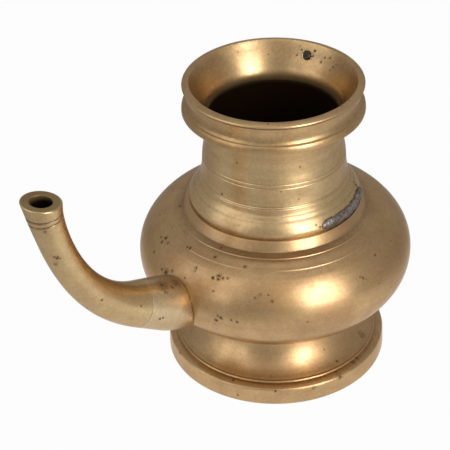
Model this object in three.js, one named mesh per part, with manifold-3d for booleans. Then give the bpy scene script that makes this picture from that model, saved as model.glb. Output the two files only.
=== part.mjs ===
// Spouted water pot of cast brass, turned on a lathe: foot ring, body, neck, mouth rim,
// spout socket, bent spout and two old solder repairs. Millimetres, +Z up, spout towards -X.
import * as THREE from 'three';
import * as BufferGeometryUtils from 'three/addons/utils/BufferGeometryUtils.js';
import Module from 'manifold-3d';

const wasm = await Module();
wasm.setup();

// Facets
const AROUND = 48;
const SPOUT_AROUND = 24;
const SPOUT_STEPS = 20;
const BORE_STEPS = 10;
const BELLY_LOWER_STEPS = 9;
const BELLY_UPPER_STEPS = 5;
const BELLY_BOTTOM_STEPS = 4;
const CAVITY_STEPS = 12;
const SHOULDER_STEPS = 20;
const CAVITY_SHOULDER_STEPS = 3;
const FOOT_STEPS = 6;
const FUNNEL_STEPS = 5;
const HEEL_STEPS = 5;

// Fits between pieces
const BRAZE_GAP = 0.3;
const SPIGOT_DEPTH = 4;
const SPIGOT_WALL = 1.6;

// Foot ring
const FOOT_RADIUS = 65.5;
const FOOT_BAND_TAPER = 0.3;
const FOOT_BAND_HEIGHT = 11.2;
const FOOT_BAND_CHAMFER = 1.2;
const FOOT_LEDGE_WIDTH = 5.9;
const FOOT_LEDGE_RISE = 0.7;
const FOOT_LEDGE_STEP = 0.8;
const FOOT_WAIST_RADIUS = 45;
const FOOT_CONE_RADIUS = 50.9;
const FOOT_CONE_HEIGHT = 21.4;
const FOOT_HEIGHT = 31;
const FOOT_WALL = 3.6;
const FOOT_BASE_WIDTH = 4.5;

// Body
const BELLY_RADIUS = 80;
const BELLY_RISE_TO_GIRTH = 39.1;
const BELLY_UPPER_HEIGHT = 41.2;
const BELLY_LOWER_HEIGHT = 42.06;
const BELLY_UPPER_POWER = 2.1;
const BELLY_LOWER_POWER = 2.13;
const BELLY_WALL = 2.6;
const SHOULDER_BLEND_RISE = 22.3;
const SHOULDER_CROWN_RADIUS = 61.3;
const SHOULDER_CROWN_DROP = 2.4;
const SHOULDER_RISE = 29.9;
const SHOULDER_LINE_SHARES = [0.728, 0.285];
const SHOULDER_LINE_RISE = 0.38;
const SHOULDER_LINE_REACH_SHARE = 0.199;
const SHOULDER_LINE_WIDTH = 0.2;
const STEP_RADIUS = 53.5;
const STEP_HEIGHT = 5.6;
const STEP_TAPER = 2.7;

// Neck
const NECK_BORE_RADIUS = 37.1;
const NECK_FOOT_HEIGHT = 14.1;
const NECK_SHAFT_HEIGHT = 42.6;
const GROOVE_DEPTH = 0.4;
const GROOVE_WIDTH = 0.9;
const LOWER_GROOVE_RISES = [1.4, 2.55];
const UPPER_GROOVE_RISES = [14.0, 16.4];

// The worn roll, crease and bead at the neck's foot, as radius and rise above the step ring
const NECK_FOOT_LINE = [
  [49.4, 0], [49.4, 2.7], [48.2, 5.6], [46.9, 7.6], [46.0, 8.7], [45.2, 9.6], [44.3, 11.0], [43.3, 12.2],
];

// The shaft above them, as radius and rise above its own foot
const NECK_SHAFT_LINE = [
  [42.7, 0], [42.0, 4.5], [41.5, 7.8], [41.1, 13.0], [40.6, 18.3], [39.4, 22.3], [39.2, 30.0], [39.2, 42.6],
];

// Mouth rim, its outside as radius and rise above its seat
const RIM_FLANGE_LINE = [[50.7, 0], [51.4, 0.7], [51.4, 1.7], [49.8, 4.9]];
const RIM_COVE_LINE = [[49.1, 6.5], [49.0, 8.9], [49.5, 11.7], [50.2, 15.2]];
const RIM_LIP_LINE = [[50.9, 15.8], [51.15, 16.4], [50.7, 17.1], [49.5, 17.7], [48.2, 18.1], [47.5, 17.5]];
const FUNNEL_BEND_RADIUS = 44.5;
const FUNNEL_BEND_RISE = 10.6;
const FUNNEL_ROUNDING = 1.5;

// Spout
const SPOUT_ROOT_HEIGHT = 67.4;
const SPOUT_RISE_ANGLE = THREE.MathUtils.degToRad(26.5);
const SOCKET_REACH = 29;
const SOCKET_END_RADIUS = 13.3;
const SOCKET_FLARE = 0.116;
const SOCKET_BORE_RADIUS = 10;
const HEEL_START = 8.2;
const HEEL_BEND = 8;
const HEEL_BEND_RADIUS = 16.3;
const HEEL_END = 20;
const HEEL_END_RADIUS = 10.4;
const SPOUT_TIP_REACH = 81.5;
const SPOUT_TIP_RISE = 106.4;
const SPOUT_LEAN_ANGLE = THREE.MathUtils.degToRad(8.1);
const SPOUT_ROOT_PULL = 28.1;
const SPOUT_TIP_PULL = 54.2;
const SPOUT_WAIST_RADIUS = 8.7;
const SPOUT_WAIST_SHARE = 0.636;
const SPOUT_TAPER_POWER = 2.05;
const SPOUT_TIP_RADIUS = 10.75;
const SPOUT_FLARE_POWER = 3.1;
const SPOUT_WAIST_WALL = 2.8;
const SPOUT_TIP_WALL = 4.5;
const TIP_LINE_DROPS = [12.3, 9.0];
const TIP_LINE_DEPTH = 0.4;
const TIP_LINE_WIDTH = 1.0;
const TIP_FACE_LEAN_IN = THREE.MathUtils.degToRad(6.5);
const TIP_FACE_LEAN_SIDE = THREE.MathUtils.degToRad(4);
const TIP_TRIM = 6;

// Old repairs in grey solder
const SOLDER_RADIUS = 2.2;
const SOLDER_RING_RADIUS = 48.9;
const SOLDER_RING_RISE = 3.4;
const SOLDER_START_ANGLE = THREE.MathUtils.degToRad(-101);
const SOLDER_END_ANGLE = THREE.MathUtils.degToRad(-47);
const SOLDER_STEPS = 14;
const PLUG_RADIUS = 2.3;
const PLUG_PROUD = 0.5;
const PLUG_DEPTH = 1.2;
const PLUG_ANGLE = THREE.MathUtils.degToRad(19.5);
const PLUG_SHARE = 0.36;
const PLUG_AROUND = 16;

// Heights worked out from the stack of pieces
const girthZ = FOOT_HEIGHT + BELLY_RISE_TO_GIRTH;
const stepZ = girthZ + SHOULDER_RISE;
const neckSeatZ = stepZ + STEP_HEIGHT;
const shaftZ = neckSeatZ + NECK_FOOT_HEIGHT;
const rimSeatZ = shaftZ + NECK_SHAFT_HEIGHT;

// Radii worked out from the pieces that meet
const stepTopRadius = STEP_RADIUS - STEP_TAPER;
const spigotRadius = NECK_BORE_RADIUS + SPIGOT_WALL;
const bodyMouthRadius = spigotRadius + BRAZE_GAP;

const brass = (name, color, roughness) =>
  new THREE.MeshStandardMaterial({ name, color, roughness, metalness: 1 });
const bodyBrass = brass('body_brass', 0xb0946a, 0.42);
const neckBrass = brass('neck_brass', 0xb4976c, 0.42);
const spoutBrass = brass('spout_brass', 0xb59a62, 0.4);
const solderGrey = brass('solder', 0x8c8880, 0.6);

const point = (radius, height) => new THREE.Vector2(radius, height);

// A piece turned from a closed outline of radius and height, standing on +Z.
function turned(outline, segments = AROUND) {
  const points = outline.slice();
  points.push(points[0].clone());
  const geometry = new THREE.LatheGeometry(points, segments);
  geometry.rotateX(Math.PI / 2);
  return geometry;
}

// The geometry as a manifold solid, with its shared vertices merged.
function solid(geometry) {
  const bare = geometry.clone();
  bare.deleteAttribute('normal');
  bare.deleteAttribute('uv');
  const merged = BufferGeometryUtils.mergeVertices(bare, 1e-4);
  const mesh = new wasm.Mesh({
    numProp: 3,
    vertProperties: new Float32Array(merged.attributes.position.array),
    triVerts: new Uint32Array(merged.index.array),
  });
  mesh.merge();
  const result = new wasm.Manifold(mesh);
  if (result.volume() >= 0) return result;
  const flipped = new Uint32Array(merged.index.array);
  for (let i = 0; i < flipped.length; i += 3) {
    const keep = flipped[i];
    flipped[i] = flipped[i + 1];
    flipped[i + 1] = keep;
  }
  return new wasm.Manifold(new wasm.Mesh({
    numProp: 3,
    vertProperties: new Float32Array(merged.attributes.position.array),
    triVerts: flipped,
  }));
}

function geometryOf(manifold) {
  const mesh = manifold.getMesh();
  const geometry = new THREE.BufferGeometry();
  geometry.setAttribute('position', new THREE.BufferAttribute(new Float32Array(mesh.vertProperties), 3));
  geometry.setIndex(new THREE.BufferAttribute(new Uint32Array(mesh.triVerts), 1));
  geometry.computeVertexNormals();
  return geometry;
}

// Points of a smooth curve, without the first one where the outline already holds it.
function curvePoints(curve, divisions) {
  return curve.getPoints(divisions).slice(1);
}

// Radius of the belly's outside, or its inside when inset by the wall, at an angle from the girth.
function bellyPoint(angle, inset) {
  const upper = angle >= 0;
  const power = upper ? BELLY_UPPER_POWER : BELLY_LOWER_POWER;
  const height = (upper ? BELLY_UPPER_HEIGHT : BELLY_LOWER_HEIGHT) - inset;
  const rise = height * Math.abs(Math.sin(angle)) ** (2 / power);
  const radius = (BELLY_RADIUS - inset) * Math.cos(angle) ** (2 / power);
  return point(radius, girthZ + (upper ? rise : -rise));
}

// Angle at which the belly stands a given height above or below its girth.
function bellyAngleAtRise(rise, inset) {
  const upper = rise >= 0;
  const power = upper ? BELLY_UPPER_POWER : BELLY_LOWER_POWER;
  const height = (upper ? BELLY_UPPER_HEIGHT : BELLY_LOWER_HEIGHT) - inset;
  const angle = Math.asin(Math.min(1, Math.abs(rise) / height) ** (power / 2));
  return upper ? angle : -angle;
}

// Angle at which the lower belly has a given radius.
function bellyAngleAtRadius(radius, inset) {
  const share = Math.min(1, radius / (BELLY_RADIUS - inset));
  return -Math.acos(share ** (BELLY_LOWER_POWER / 2));
}

function bellyArc(fromAngle, toAngle, inset, steps) {
  const points = [];
  for (let i = 0; i <= steps; i += 1) {
    points.push(bellyPoint(fromAngle + (toAngle - fromAngle) * (i / steps), inset));
  }
  return points;
}

// The shoulder, from the belly's curve up to the foot of the step ring.
function shoulderCurve(inset) {
  const start = bellyPoint(bellyAngleAtRise(SHOULDER_BLEND_RISE, inset), inset);
  const crown = point(SHOULDER_CROWN_RADIUS - inset / 2, stepZ - SHOULDER_CROWN_DROP - inset);
  return new THREE.QuadraticBezierCurve(start, crown, point(STEP_RADIUS - inset / 2, stepZ - inset));
}

// Height of a descending outline where it has a given radius.
function heightAt(outline, radius) {
  const next = outline.findIndex((place) => place.x <= radius);
  const from = outline[next - 1];
  const to = outline[next];
  return THREE.MathUtils.mapLinear(radius, from.x, to.x, from.y, to.y);
}

// The shoulder with its two turned lines, each a small riser that faces outwards.
function linedShoulder() {
  const plain = shoulderCurve(0).getPoints(SHOULDER_STEPS);
  const foot = plain[plain.length - 1];
  const width = plain[0].x - foot.x;
  const reach = width * SHOULDER_LINE_REACH_SHARE;
  const radii = SHOULDER_LINE_SHARES.map((share) => foot.x + width * share);
  const risers = radii.flatMap((radius) => {
    const middle = heightAt(plain, radius);
    return [
      point(radius + reach, heightAt(plain, radius + reach)),
      point(radius + SHOULDER_LINE_WIDTH / 2, middle - SHOULDER_LINE_RISE / 2),
      point(radius - SHOULDER_LINE_WIDTH / 2, middle + SHOULDER_LINE_RISE / 2),
    ];
  });
  const innermost = Math.min(...radii) - reach;
  return [...risers, point(innermost, heightAt(plain, innermost)), foot];
}

function bodyOutline() {
  const collarRadius = FOOT_WAIST_RADIUS;
  const collarInside = bellyAngleAtRadius(collarRadius - FOOT_WALL, 0);
  const blend = bellyAngleAtRise(SHOULDER_BLEND_RISE, 0);
  const blendInside = bellyAngleAtRise(SHOULDER_BLEND_RISE, BELLY_WALL);
  const inner = bellyArc(-Math.PI / 2, blendInside, BELLY_WALL, CAVITY_STEPS).reverse();
  inner[inner.length - 1].x = 0;
  return [
    point(collarRadius, FOOT_HEIGHT),
    ...bellyArc(bellyAngleAtRadius(collarRadius, 0), 0, 0, BELLY_LOWER_STEPS),
    ...bellyArc(0, blend, 0, BELLY_UPPER_STEPS).slice(1),
    ...linedShoulder(),
    point(stepTopRadius, neckSeatZ),
    point(bodyMouthRadius, neckSeatZ),
    point(bodyMouthRadius, stepZ - BELLY_WALL),
    ...shoulderCurve(BELLY_WALL).getPoints(CAVITY_SHOULDER_STEPS).reverse(),
    ...inner.slice(1),
    bellyPoint(-Math.PI / 2, 0).setX(0),
    ...bellyArc(-Math.PI / 2, collarInside, 0, BELLY_BOTTOM_STEPS).slice(1),
    point(collarRadius - FOOT_WALL, FOOT_HEIGHT),
  ];
}

// The solid bounded by the belly's outside, grown by a clearance.
function bellyEnvelope(grow) {
  const half = Math.PI / 2;
  const points = [
    ...bellyArc(-half, 0, -grow, 2 * BELLY_LOWER_STEPS),
    ...bellyArc(0, half, -grow, 2 * BELLY_LOWER_STEPS).slice(1),
  ];
  points[0].x = 0;
  points[points.length - 1].x = 0;
  return solid(turned(points, 2 * AROUND));
}

// The straight line of the spout's root, from the pot's axis plane up through the socket.
const rootDirection = new THREE.Vector3(-Math.cos(SPOUT_RISE_ANGLE), 0, Math.sin(SPOUT_RISE_ANGLE));
const rootPoint = new THREE.Vector3(-BELLY_RADIUS, 0, SPOUT_ROOT_HEIGHT);
const socketEnd = rootPoint.clone().addScaledVector(rootDirection, SOCKET_REACH);

// A turned piece laid along the spout's root, its height zero at the given centre.
function alongRoot(geometry, centre) {
  const turn = new THREE.Quaternion().setFromUnitVectors(new THREE.Vector3(0, 0, 1), rootDirection);
  geometry.applyQuaternion(turn);
  geometry.translate(centre.x, centre.y, centre.z);
  return geometry;
}

function boreThroughBelly() {
  const length = 2 * HEEL_END;
  const drill = new THREE.CylinderGeometry(SOCKET_BORE_RADIUS, SOCKET_BORE_RADIUS, length, SPOUT_AROUND);
  drill.rotateX(Math.PI / 2);
  return solid(alongRoot(drill, rootPoint));
}

function bodyGeometry() {
  return geometryOf(solid(turned(bodyOutline())).subtract(boreThroughBelly()));
}

function footOutline() {
  const bandRadius = FOOT_RADIUS - FOOT_BAND_TAPER;
  const ledgeRadius = bandRadius - FOOT_LEDGE_WIDTH;
  const ledgeZ = FOOT_BAND_HEIGHT + FOOT_LEDGE_RISE;
  const cove = new THREE.QuadraticBezierCurve(
    point(ledgeRadius - FOOT_LEDGE_STEP, ledgeZ + FOOT_LEDGE_STEP),
    point(FOOT_CONE_RADIUS, FOOT_CONE_HEIGHT),
    point(FOOT_WAIST_RADIUS, FOOT_HEIGHT),
  );
  const hollow = new THREE.QuadraticBezierCurve(
    point(FOOT_WAIST_RADIUS - FOOT_WALL, FOOT_HEIGHT),
    point(FOOT_CONE_RADIUS - FOOT_WALL, FOOT_CONE_HEIGHT - FOOT_WALL),
    point(FOOT_RADIUS - FOOT_BASE_WIDTH, 0),
  );
  return [
    point(FOOT_RADIUS, 0),
    point(bandRadius, FOOT_BAND_HEIGHT - FOOT_BAND_CHAMFER),
    point(bandRadius - FOOT_BAND_CHAMFER, FOOT_BAND_HEIGHT),
    point(ledgeRadius, ledgeZ),
    ...cove.getPoints(FOOT_STEPS),
    ...hollow.getPoints(FOOT_STEPS),
  ];
}

// Points of an outline given as pairs of radius and rise above a height.
function risingFrom(height, line) {
  return line.map(([radius, rise]) => point(radius, height + rise));
}

// A shallow turned groove, as three points.
function groove(radius, middle, depth, width) {
  return [
    point(radius, middle - width / 2),
    point(radius - depth, middle),
    point(radius, middle + width / 2),
  ];
}

function shaftRadiusAt(rise) {
  const next = NECK_SHAFT_LINE.findIndex(([, high]) => high >= rise);
  const [fromRadius, fromRise] = NECK_SHAFT_LINE[next - 1];
  const [toRadius, toRise] = NECK_SHAFT_LINE[next];
  return THREE.MathUtils.mapLinear(rise, fromRise, toRise, fromRadius, toRadius);
}

function neckGroove(rise) {
  return groove(shaftRadiusAt(rise), shaftZ + rise, GROOVE_DEPTH, GROOVE_WIDTH);
}

function neckFootLine(grow = 0) {
  return risingFrom(neckSeatZ, NECK_FOOT_LINE).map((place) => place.setX(place.x + grow));
}

function neckOutline() {
  const shaft = risingFrom(shaftZ, NECK_SHAFT_LINE);
  const lowestGroove = shaftZ + UPPER_GROOVE_RISES[0];
  const highestGroove = shaftZ + UPPER_GROOVE_RISES[1];
  const counterboreZ = rimSeatZ - SPIGOT_DEPTH - BRAZE_GAP;
  const recess = NECK_BORE_RADIUS + SPIGOT_WALL / 2 + BRAZE_GAP;
  return [
    point(spigotRadius, neckSeatZ),
    ...neckFootLine(),
    shaft[0],
    ...LOWER_GROOVE_RISES.flatMap(neckGroove),
    ...shaft.slice(1).filter((place) => place.y < lowestGroove - GROOVE_WIDTH),
    ...UPPER_GROOVE_RISES.flatMap(neckGroove),
    ...shaft.filter((place) => place.y > highestGroove + GROOVE_WIDTH),
    point(recess, rimSeatZ),
    point(recess, counterboreZ),
    point(NECK_BORE_RADIUS, counterboreZ),
    point(NECK_BORE_RADIUS, neckSeatZ - SPIGOT_DEPTH),
    point(spigotRadius, neckSeatZ - SPIGOT_DEPTH),
  ];
}

// The funnel inside the mouth, from the lip down to the neck's bore.
function funnelCurve() {
  const [topRadius, topRise] = RIM_LIP_LINE[RIM_LIP_LINE.length - 1];
  return new THREE.QuadraticBezierCurve(
    point(topRadius, rimSeatZ + topRise),
    point(FUNNEL_BEND_RADIUS, rimSeatZ + FUNNEL_BEND_RISE),
    point(NECK_BORE_RADIUS + FUNNEL_ROUNDING / 2, rimSeatZ + FUNNEL_ROUNDING),
  );
}

function rimOutline() {
  const spigotOuter = NECK_BORE_RADIUS + SPIGOT_WALL / 2;
  return [
    ...risingFrom(rimSeatZ, [...RIM_FLANGE_LINE, ...RIM_COVE_LINE, ...RIM_LIP_LINE]),
    ...curvePoints(funnelCurve(), FUNNEL_STEPS),
    point(NECK_BORE_RADIUS, rimSeatZ - FUNNEL_ROUNDING),
    point(NECK_BORE_RADIUS, rimSeatZ - SPIGOT_DEPTH),
    point(spigotOuter, rimSeatZ - SPIGOT_DEPTH),
    point(spigotOuter, rimSeatZ),
  ];
}

// A short cylinder set upright on the funnel's wall, from a depth behind it to a height before it.
function plugCylinder(radius, depth, height) {
  const curve = funnelCurve();
  const place = curve.getPointAt(PLUG_SHARE);
  const slope = curve.getTangentAt(PLUG_SHARE);
  const out = new THREE.Vector3(slope.y, 0, -slope.x).normalize();
  const cylinder = new THREE.CylinderGeometry(radius, radius, depth + height, PLUG_AROUND);
  cylinder.translate(0, (height - depth) / 2, 0);
  cylinder.applyQuaternion(new THREE.Quaternion().setFromUnitVectors(new THREE.Vector3(0, 1, 0), out));
  cylinder.translate(place.x, 0, place.y);
  cylinder.rotateZ(PLUG_ANGLE);
  return cylinder;
}

function rimGeometry() {
  const hole = plugCylinder(PLUG_RADIUS + BRAZE_GAP, PLUG_DEPTH + BRAZE_GAP, PLUG_RADIUS);
  return geometryOf(solid(turned(rimOutline())).subtract(solid(hole)));
}

// Radius of the spigot with which the spout sits in its socket.
const spoutSpigotRadius = (SOCKET_END_RADIUS + SOCKET_BORE_RADIUS) / 2;

// The socket's pipe with its rounded heel, cut to the belly's round.
function socketGeometry() {
  const rebateDepth = SPIGOT_DEPTH + BRAZE_GAP;
  const rebateRadius = spoutSpigotRadius + BRAZE_GAP;
  const heelStart = HEEL_START - SOCKET_REACH;
  const heelEnd = -SOCKET_REACH - HEEL_END;
  const heel = new THREE.QuadraticBezierCurve(
    point(HEEL_END_RADIUS, heelEnd),
    point(HEEL_BEND_RADIUS, -SOCKET_REACH - HEEL_BEND),
    point(SOCKET_END_RADIUS - SOCKET_FLARE * heelStart, heelStart),
  );
  const pipe = turned([
    ...heel.getPoints(HEEL_STEPS),
    point(SOCKET_END_RADIUS, -BRAZE_GAP),
    point(rebateRadius, -BRAZE_GAP),
    point(rebateRadius, -rebateDepth),
    point(SOCKET_BORE_RADIUS, -rebateDepth),
    point(SOCKET_BORE_RADIUS, heelEnd),
  ], SPOUT_AROUND);
  return geometryOf(solid(alongRoot(pipe, socketEnd)).subtract(bellyEnvelope(BRAZE_GAP)));
}

// The spout's centre line beyond its socket.
function spoutLine() {
  const tip = new THREE.Vector3(-BELLY_RADIUS - SPOUT_TIP_REACH, 0, SPOUT_ROOT_HEIGHT + SPOUT_TIP_RISE);
  const tipDirection = new THREE.Vector3(-Math.sin(SPOUT_LEAN_ANGLE), 0, Math.cos(SPOUT_LEAN_ANGLE));
  return {
    tip,
    tipDirection,
    curve: new THREE.CubicBezierCurve3(
      socketEnd,
      socketEnd.clone().addScaledVector(rootDirection, SPOUT_ROOT_PULL),
      tip.clone().addScaledVector(tipDirection, -SPOUT_TIP_PULL),
      tip,
    ),
  };
}

function spoutRadiusAt(share) {
  if (share < SPOUT_WAIST_SHARE) {
    const left = 1 - share / SPOUT_WAIST_SHARE;
    return SPOUT_WAIST_RADIUS + (SOCKET_END_RADIUS - SPOUT_WAIST_RADIUS) * left ** SPOUT_TAPER_POWER;
  }
  const past = (share - SPOUT_WAIST_SHARE) / (1 - SPOUT_WAIST_SHARE);
  return SPOUT_WAIST_RADIUS + (SPOUT_TIP_RADIUS - SPOUT_WAIST_RADIUS) * past ** SPOUT_FLARE_POWER;
}

function spoutWallAt(share) {
  const rootWall = SOCKET_END_RADIUS - SOCKET_BORE_RADIUS;
  if (share < SPOUT_WAIST_SHARE) {
    return THREE.MathUtils.lerp(rootWall, SPOUT_WAIST_WALL, share / SPOUT_WAIST_SHARE);
  }
  const past = (share - SPOUT_WAIST_SHARE) / (1 - SPOUT_WAIST_SHARE);
  return THREE.MathUtils.lerp(SPOUT_WAIST_WALL, SPOUT_TIP_WALL, past ** SPOUT_FLARE_POWER);
}

// Bends a straight turned pipe along the spout's line; below and past it the pipe runs straight.
function bendAlong(geometry, line, length) {
  const position = geometry.attributes.position;
  const sideways = new THREE.Vector3(0, 1, 0);
  for (let i = 0; i < position.count; i += 1) {
    const height = position.getZ(i);
    const share = THREE.MathUtils.clamp(height / length, 0, 1);
    const tangent = share === 0 ? rootDirection.clone() : line.curve.getTangentAt(share);
    const across = new THREE.Vector3().crossVectors(sideways, tangent);
    const place = line.curve.getPointAt(share)
      .addScaledVector(tangent, height - share * length)
      .addScaledVector(across, position.getX(i))
      .addScaledVector(sideways, position.getY(i));
    position.setXYZ(i, place.x, place.y, place.z);
  }
  return geometry;
}

// The block that trims the spout's tip to its nearly level face.
function tipTrim(line) {
  const size = 8 * SPOUT_TIP_RADIUS;
  const block = new THREE.BoxGeometry(size, size, size);
  block.translate(0, 0, size / 2);
  block.rotateY(TIP_FACE_LEAN_IN);
  block.rotateX(TIP_FACE_LEAN_SIDE);
  block.translate(line.tip.x, line.tip.y, line.tip.z);
  return solid(block);
}

// The spout's outside, with the two lines cut below its tip.
function spoutSkin(length) {
  const lines = TIP_LINE_DROPS.map((drop) => length - drop);
  const clear = (run) => lines.every((line) => Math.abs(run - line) > TIP_LINE_WIDTH);
  const plain = Array.from({ length: SPOUT_STEPS + 1 }, (_, i) => length * (i / SPOUT_STEPS)).filter(clear);
  const points = plain.map((run) => point(spoutRadiusAt(run / length), run));
  lines.forEach((run) => {
    points.push(...groove(spoutRadiusAt(run / length), run, TIP_LINE_DEPTH, TIP_LINE_WIDTH));
  });
  return points.sort((a, b) => a.y - b.y);
}

function spoutBore(length) {
  return Array.from({ length: BORE_STEPS + 1 }, (_, i) => {
    const share = 1 - i / BORE_STEPS;
    return point(spoutRadiusAt(share) - spoutWallAt(share), share * length);
  });
}

function spoutGeometry() {
  const line = spoutLine();
  const length = line.curve.getLength();
  const pipe = turned([
    point(spoutSpigotRadius, 0),
    ...spoutSkin(length),
    point(SPOUT_TIP_RADIUS, length + TIP_TRIM),
    point(SPOUT_TIP_RADIUS - SPOUT_TIP_WALL, length + TIP_TRIM),
    ...spoutBore(length),
    point(SOCKET_BORE_RADIUS, -SPIGOT_DEPTH),
    point(spoutSpigotRadius, -SPIGOT_DEPTH),
  ], SPOUT_AROUND);
  return geometryOf(solid(bendAlong(pipe, line, length)).subtract(tipTrim(line)));
}

// The bead of solder that was run along the neck's roll, above the step ring.
function neckSolderGeometry() {
  const path = new THREE.CatmullRomCurve3(
    Array.from({ length: SOLDER_STEPS + 1 }, (_, i) => {
      const angle = THREE.MathUtils.lerp(SOLDER_START_ANGLE, SOLDER_END_ANGLE, i / SOLDER_STEPS);
      return new THREE.Vector3(
        SOLDER_RING_RADIUS * Math.cos(angle),
        SOLDER_RING_RADIUS * Math.sin(angle),
        neckSeatZ + SOLDER_RING_RISE,
      );
    }),
  );
  const section = new THREE.Shape().absarc(0, 0, SOLDER_RADIUS, 0, 2 * Math.PI);
  const bead = new THREE.ExtrudeGeometry(section, {
    steps: SOLDER_STEPS, curveSegments: 6, bevelEnabled: false, extrudePath: path,
  });
  return geometryOf(solid(bead).subtract(neckClearance()));
}

// The neck's foot and the step ring, grown by the braze gap, which the solder stays out of.
function neckClearance() {
  const foot = neckFootLine(BRAZE_GAP);
  return solid(turned([
    point(0, stepZ),
    point(STEP_RADIUS + BRAZE_GAP, stepZ),
    point(stepTopRadius + BRAZE_GAP, neckSeatZ + BRAZE_GAP),
    point(foot[0].x, neckSeatZ + BRAZE_GAP),
    ...foot.slice(1),
    point(0, foot[foot.length - 1].y),
  ], 2 * AROUND));
}

function mesh(name, geometry, material) {
  const piece = new THREE.Mesh(geometry, material);
  piece.name = name;
  return piece;
}

const pot = new THREE.Group();
pot.add(
  mesh('foot_ring', turned(footOutline()), bodyBrass),
  mesh('body', bodyGeometry(), bodyBrass),
  mesh('neck', turned(neckOutline()), neckBrass),
  mesh('mouth_rim', rimGeometry(), neckBrass),
  mesh('spout_socket', socketGeometry(), spoutBrass),
  mesh('spout_tube', spoutGeometry(), spoutBrass),
  mesh('neck_solder', neckSolderGeometry(), solderGrey),
  mesh('rim_plug', plugCylinder(PLUG_RADIUS, PLUG_DEPTH, PLUG_PROUD), solderGrey),
);

const extent = new THREE.Box3().setFromObject(pot);
const middle = extent.getCenter(new THREE.Vector3());
pot.position.set(-middle.x, -middle.y, -extent.min.z);
pot.updateMatrixWorld(true);

export default pot;
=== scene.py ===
"""A spouted water pot of cast and turned brass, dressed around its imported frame."""
import logging
import math
from bisect import bisect_right
from dataclasses import dataclass, field
from enum import Enum
from typing import Callable, Optional, Sequence

import bmesh
import bpy
from mathutils import Matrix, Vector, noise
from mathutils.bvhtree import BVHTree


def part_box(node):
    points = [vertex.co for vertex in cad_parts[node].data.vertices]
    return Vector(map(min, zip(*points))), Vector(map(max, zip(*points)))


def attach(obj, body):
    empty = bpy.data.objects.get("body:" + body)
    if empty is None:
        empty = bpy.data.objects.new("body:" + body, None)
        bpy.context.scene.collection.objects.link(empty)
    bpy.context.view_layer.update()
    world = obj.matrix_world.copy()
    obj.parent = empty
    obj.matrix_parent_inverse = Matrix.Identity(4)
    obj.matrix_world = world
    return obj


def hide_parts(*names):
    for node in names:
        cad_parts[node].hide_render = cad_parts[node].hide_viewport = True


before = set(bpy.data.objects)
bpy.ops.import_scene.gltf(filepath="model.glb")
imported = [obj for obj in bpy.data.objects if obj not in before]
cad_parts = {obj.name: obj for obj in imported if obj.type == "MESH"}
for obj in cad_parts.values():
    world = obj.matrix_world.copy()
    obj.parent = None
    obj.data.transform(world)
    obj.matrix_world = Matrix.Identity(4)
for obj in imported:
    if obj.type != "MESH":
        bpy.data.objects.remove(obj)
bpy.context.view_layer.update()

LOG = logging.getLogger("water_pot")

# A millimetre, in metres
MM = 0.001

# The photograph's width and height, in pixels
IMAGE_SIZE = 450

# Steps round the pot, round its belly, and round the smaller pieces and tools
AROUND = 224
BELLY_AROUND = 272
SOCKET_AROUND = 144
SPOUT_AROUND = 72
DRILL_AROUND = 64
PLUG_AROUND = 40

# Sizes that neighbouring pieces share, in millimetres
FOOT_TOP = 31.0
FOOT_TOP_RADIUS = 45.0
FOOT_WALL = 3.6
BELLY_RADIUS = 80.0
NECK_SEAT = 105.6
RIM_SEAT = 162.3
NECK_BORE = 37.1
SPIGOT_DEPTH = 4.0
BRAZING_GAP = 0.3

# Rounding of the edges that stay sharp, in millimetres
SHARP_EDGE = 0.1

# Rounding of a turned line's edges and of its bottom, in millimetres
GROOVE_EDGE = 0.3
GROOVE_ROOT = 0.25

# The share of a stretch that the rounding at one of its ends may take
FILLET_SHARE = 0.45

# How far from the seam between socket and belly its dirt is measured, in metres
JOINT_REACH = 12 * MM

# How far a mark's stain spreads, in radii of the mark
MARK_SPREAD = 2.3


class Body(Enum):
    """The bodies that pieces ride on."""

    ROOT = "root"


class Slot(Enum):
    """The record's material slots."""

    BODY = "body_brass"
    NECK = "neck_brass"
    SPOUT = "spout_brass"
    SOLDER = "solder"


def pot_axis() -> Vector:
    """Returns the point where the pot's turned axis meets the ground, in metres."""
    low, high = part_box("foot_ring")
    return Vector(((low.x + high.x) / 2, (low.y + high.y) / 2, 0))


def outward(azimuth: float, elevation: float = 0.0) -> Vector:
    """Returns the way from the pot towards something around it.

    Args:
        azimuth: Its turn about Z, in degrees; 0 lies along -Y.
        elevation: Its height above the horizon, in degrees.

    Returns:
        The direction, one long.
    """
    turn = math.radians(azimuth)
    rise = math.radians(elevation)
    return Vector((math.sin(turn) * math.cos(rise), -math.cos(turn) * math.cos(rise), math.sin(rise)))


def linked(name: str, data: bpy.types.ID) -> bpy.types.Object:
    """Makes an object and links it to the scene.

    Args:
        name: The object's name.
        data: Its mesh, lamp or camera.

    Returns:
        The object, at the origin.
    """
    made = bpy.data.objects.new(name, data)
    bpy.context.scene.collection.objects.link(made)
    return made


def surface(piece: bpy.types.Object) -> BVHTree:
    """Returns a piece's surface, ready to be searched."""
    return BVHTree.FromObject(piece, bpy.context.evaluated_depsgraph_get())


# Outlines


Profile = tuple[tuple[float, float], ...]


@dataclass
class Corner:
    """A corner of a turned outline.

    Args:
        radius: Distance from the pot's axis, in millimetres.
        height: Height above the ground, in millimetres.
        fillet: Length of the rounding on each side of the corner, in millimetres.
    """

    radius: float
    height: float
    fillet: float = 0.0

    def place(self) -> Vector:
        """Returns the corner as a 2-D point."""
        return Vector((self.radius, self.height))


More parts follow.
